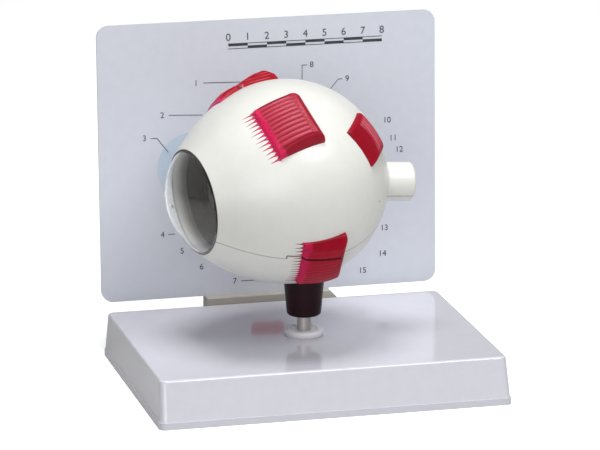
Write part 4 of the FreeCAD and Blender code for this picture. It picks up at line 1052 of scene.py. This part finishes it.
# brush strokes: strong pink at the pad, thin mauve at the tip
def streakMaterial(name, root, middle, tip):
    material, tree, place = newMaterial(name)
    skinned = useGroup(tree, moulding, Place=place, Skin=2.0, Wave=0.4)
    blotchy = scaled(tree, skinned["Tone"], 0.2, read(tree, "fade"))
    tint = layered(tree, root, (ramp(tree, blotchy, 0.1, 0.5), middle),
                   (ramp(tree, blotchy, 0.6, 1.2), tip))
    finish(tree, principled(tree, Base_Color=tint, Roughness=0.35, Coat_Weight=0.2))
    return material


streakPink = streakMaterial("streakPink", hotPink, rgb(196, 38, 90), rgb(158, 62, 104))
streakMauve = streakMaterial("streakMauve", rgb(206, 40, 90), rgb(140, 44, 84),
                             rgb(150, 84, 116))
streakPale = streakMaterial("streakPale", rgb(226, 140, 176), rgb(236, 190, 208),
                            rgb(240, 222, 228))
streakMesh("superiorRectusStreaks", "superiorRectus", streakPink, "upper_half")
streakMesh("inferiorRectusStreaks", "inferiorRectus", streakPink, "eye")
streakMesh("medialRectusUpperStreaks", "medialRectus", streakMauve, "upper_half", "upper",
           3.8, 0.36)
streakMesh("medialRectusLowerStreaks", "medialRectus", streakMauve, "eye", "lower", 4.2, 0.36)
streakMesh("lateralTendonStreaks", "lateralTendon", streakPale, "upper_half", "upper", 1.3)
print("tendon streaks are on")

vessels = {"far": 41.33, "start": 5.2, "radius": 0.55, "tip": 0.2, "steps": 60, "around": 10,
           "wobble": 3.0, "veinTurn": 9, "veinCurl": 5}

# the way each branch leaves the disc, how it curls, and how far it runs, all in degrees
branches = {"Upper": [(38, 34, 78), (80, -20, 44), (142, -44, 60)],
            "Lower": [(-38, -34, 78), (-80, 20, 44), (-142, 44, 60)]}


# Round tubes, thinning to their tips, along paths on the inner layer: away from the disc by an
# angle, in a direction that curls as it goes; the veins are turned and curled a little more.
def vesselMesh(name, half, turn, curlMore, material, body, slot):
    c, s = turned(nerve["angle"])
    disc, level, upright = np.array([-c, s, 0]), np.array([s, c, 0]), np.array([0, 0, 1])
    rows, columns = vessels["steps"], vessels["around"]
    t = np.linspace(0, 1, rows)
    theta = np.linspace(0, 2 * math.pi, columns, endpoint=False)[None, :, None]
    radius = vessels["radius"] * (1 - t) + vessels["tip"] * t
    tubes, faces = [], []
    for way, curl, reach in branches[half]:
        away = np.radians(vessels["start"] + t * reach)
        wobble = vessels["wobble"] * np.sin(9 * t + way) * t
        sign = 1 if way > 0 else -1
        around = np.radians(way + sign * turn + (curl + sign * curlMore) * t ** 0.8 + wobble)
        spread = np.cos(around)[:, None] * level + np.sin(around)[:, None] * upright
        out = np.cos(away)[:, None] * disc + np.sin(away)[:, None] * spread
        path = out * vessels["far"]
        ahead = np.gradient(path, axis=0)
        ahead /= np.linalg.norm(ahead, axis=1)[:, None]
        side = np.cross(out, ahead)
        ring = np.cos(theta) * side[:, None] + np.sin(theta) * out[:, None]
        tube = (path[:, None] + ring * radius[:, None, None]).reshape(-1, 3)
        faces.append(len(tubes) * len(tube) + facingOut(tube, tubeFaces(rows, columns)))
        tubes.append(tube)
    meshPiece(name, toWorld(np.concatenate(tubes)), np.concatenate(faces), material, body, slot)


for half, body in (("Upper", "upper_half"), ("Lower", "eye")):
    vesselMesh("retinalArteries" + half, half, 0, 0, arteryRed, body, "artery_red")
    vesselMesh("retinalVeins" + half, half, vessels["veinTurn"], vessels["veinCurl"], veinBlue,
               body, "vein_blue")
print("retinal vessels are on")
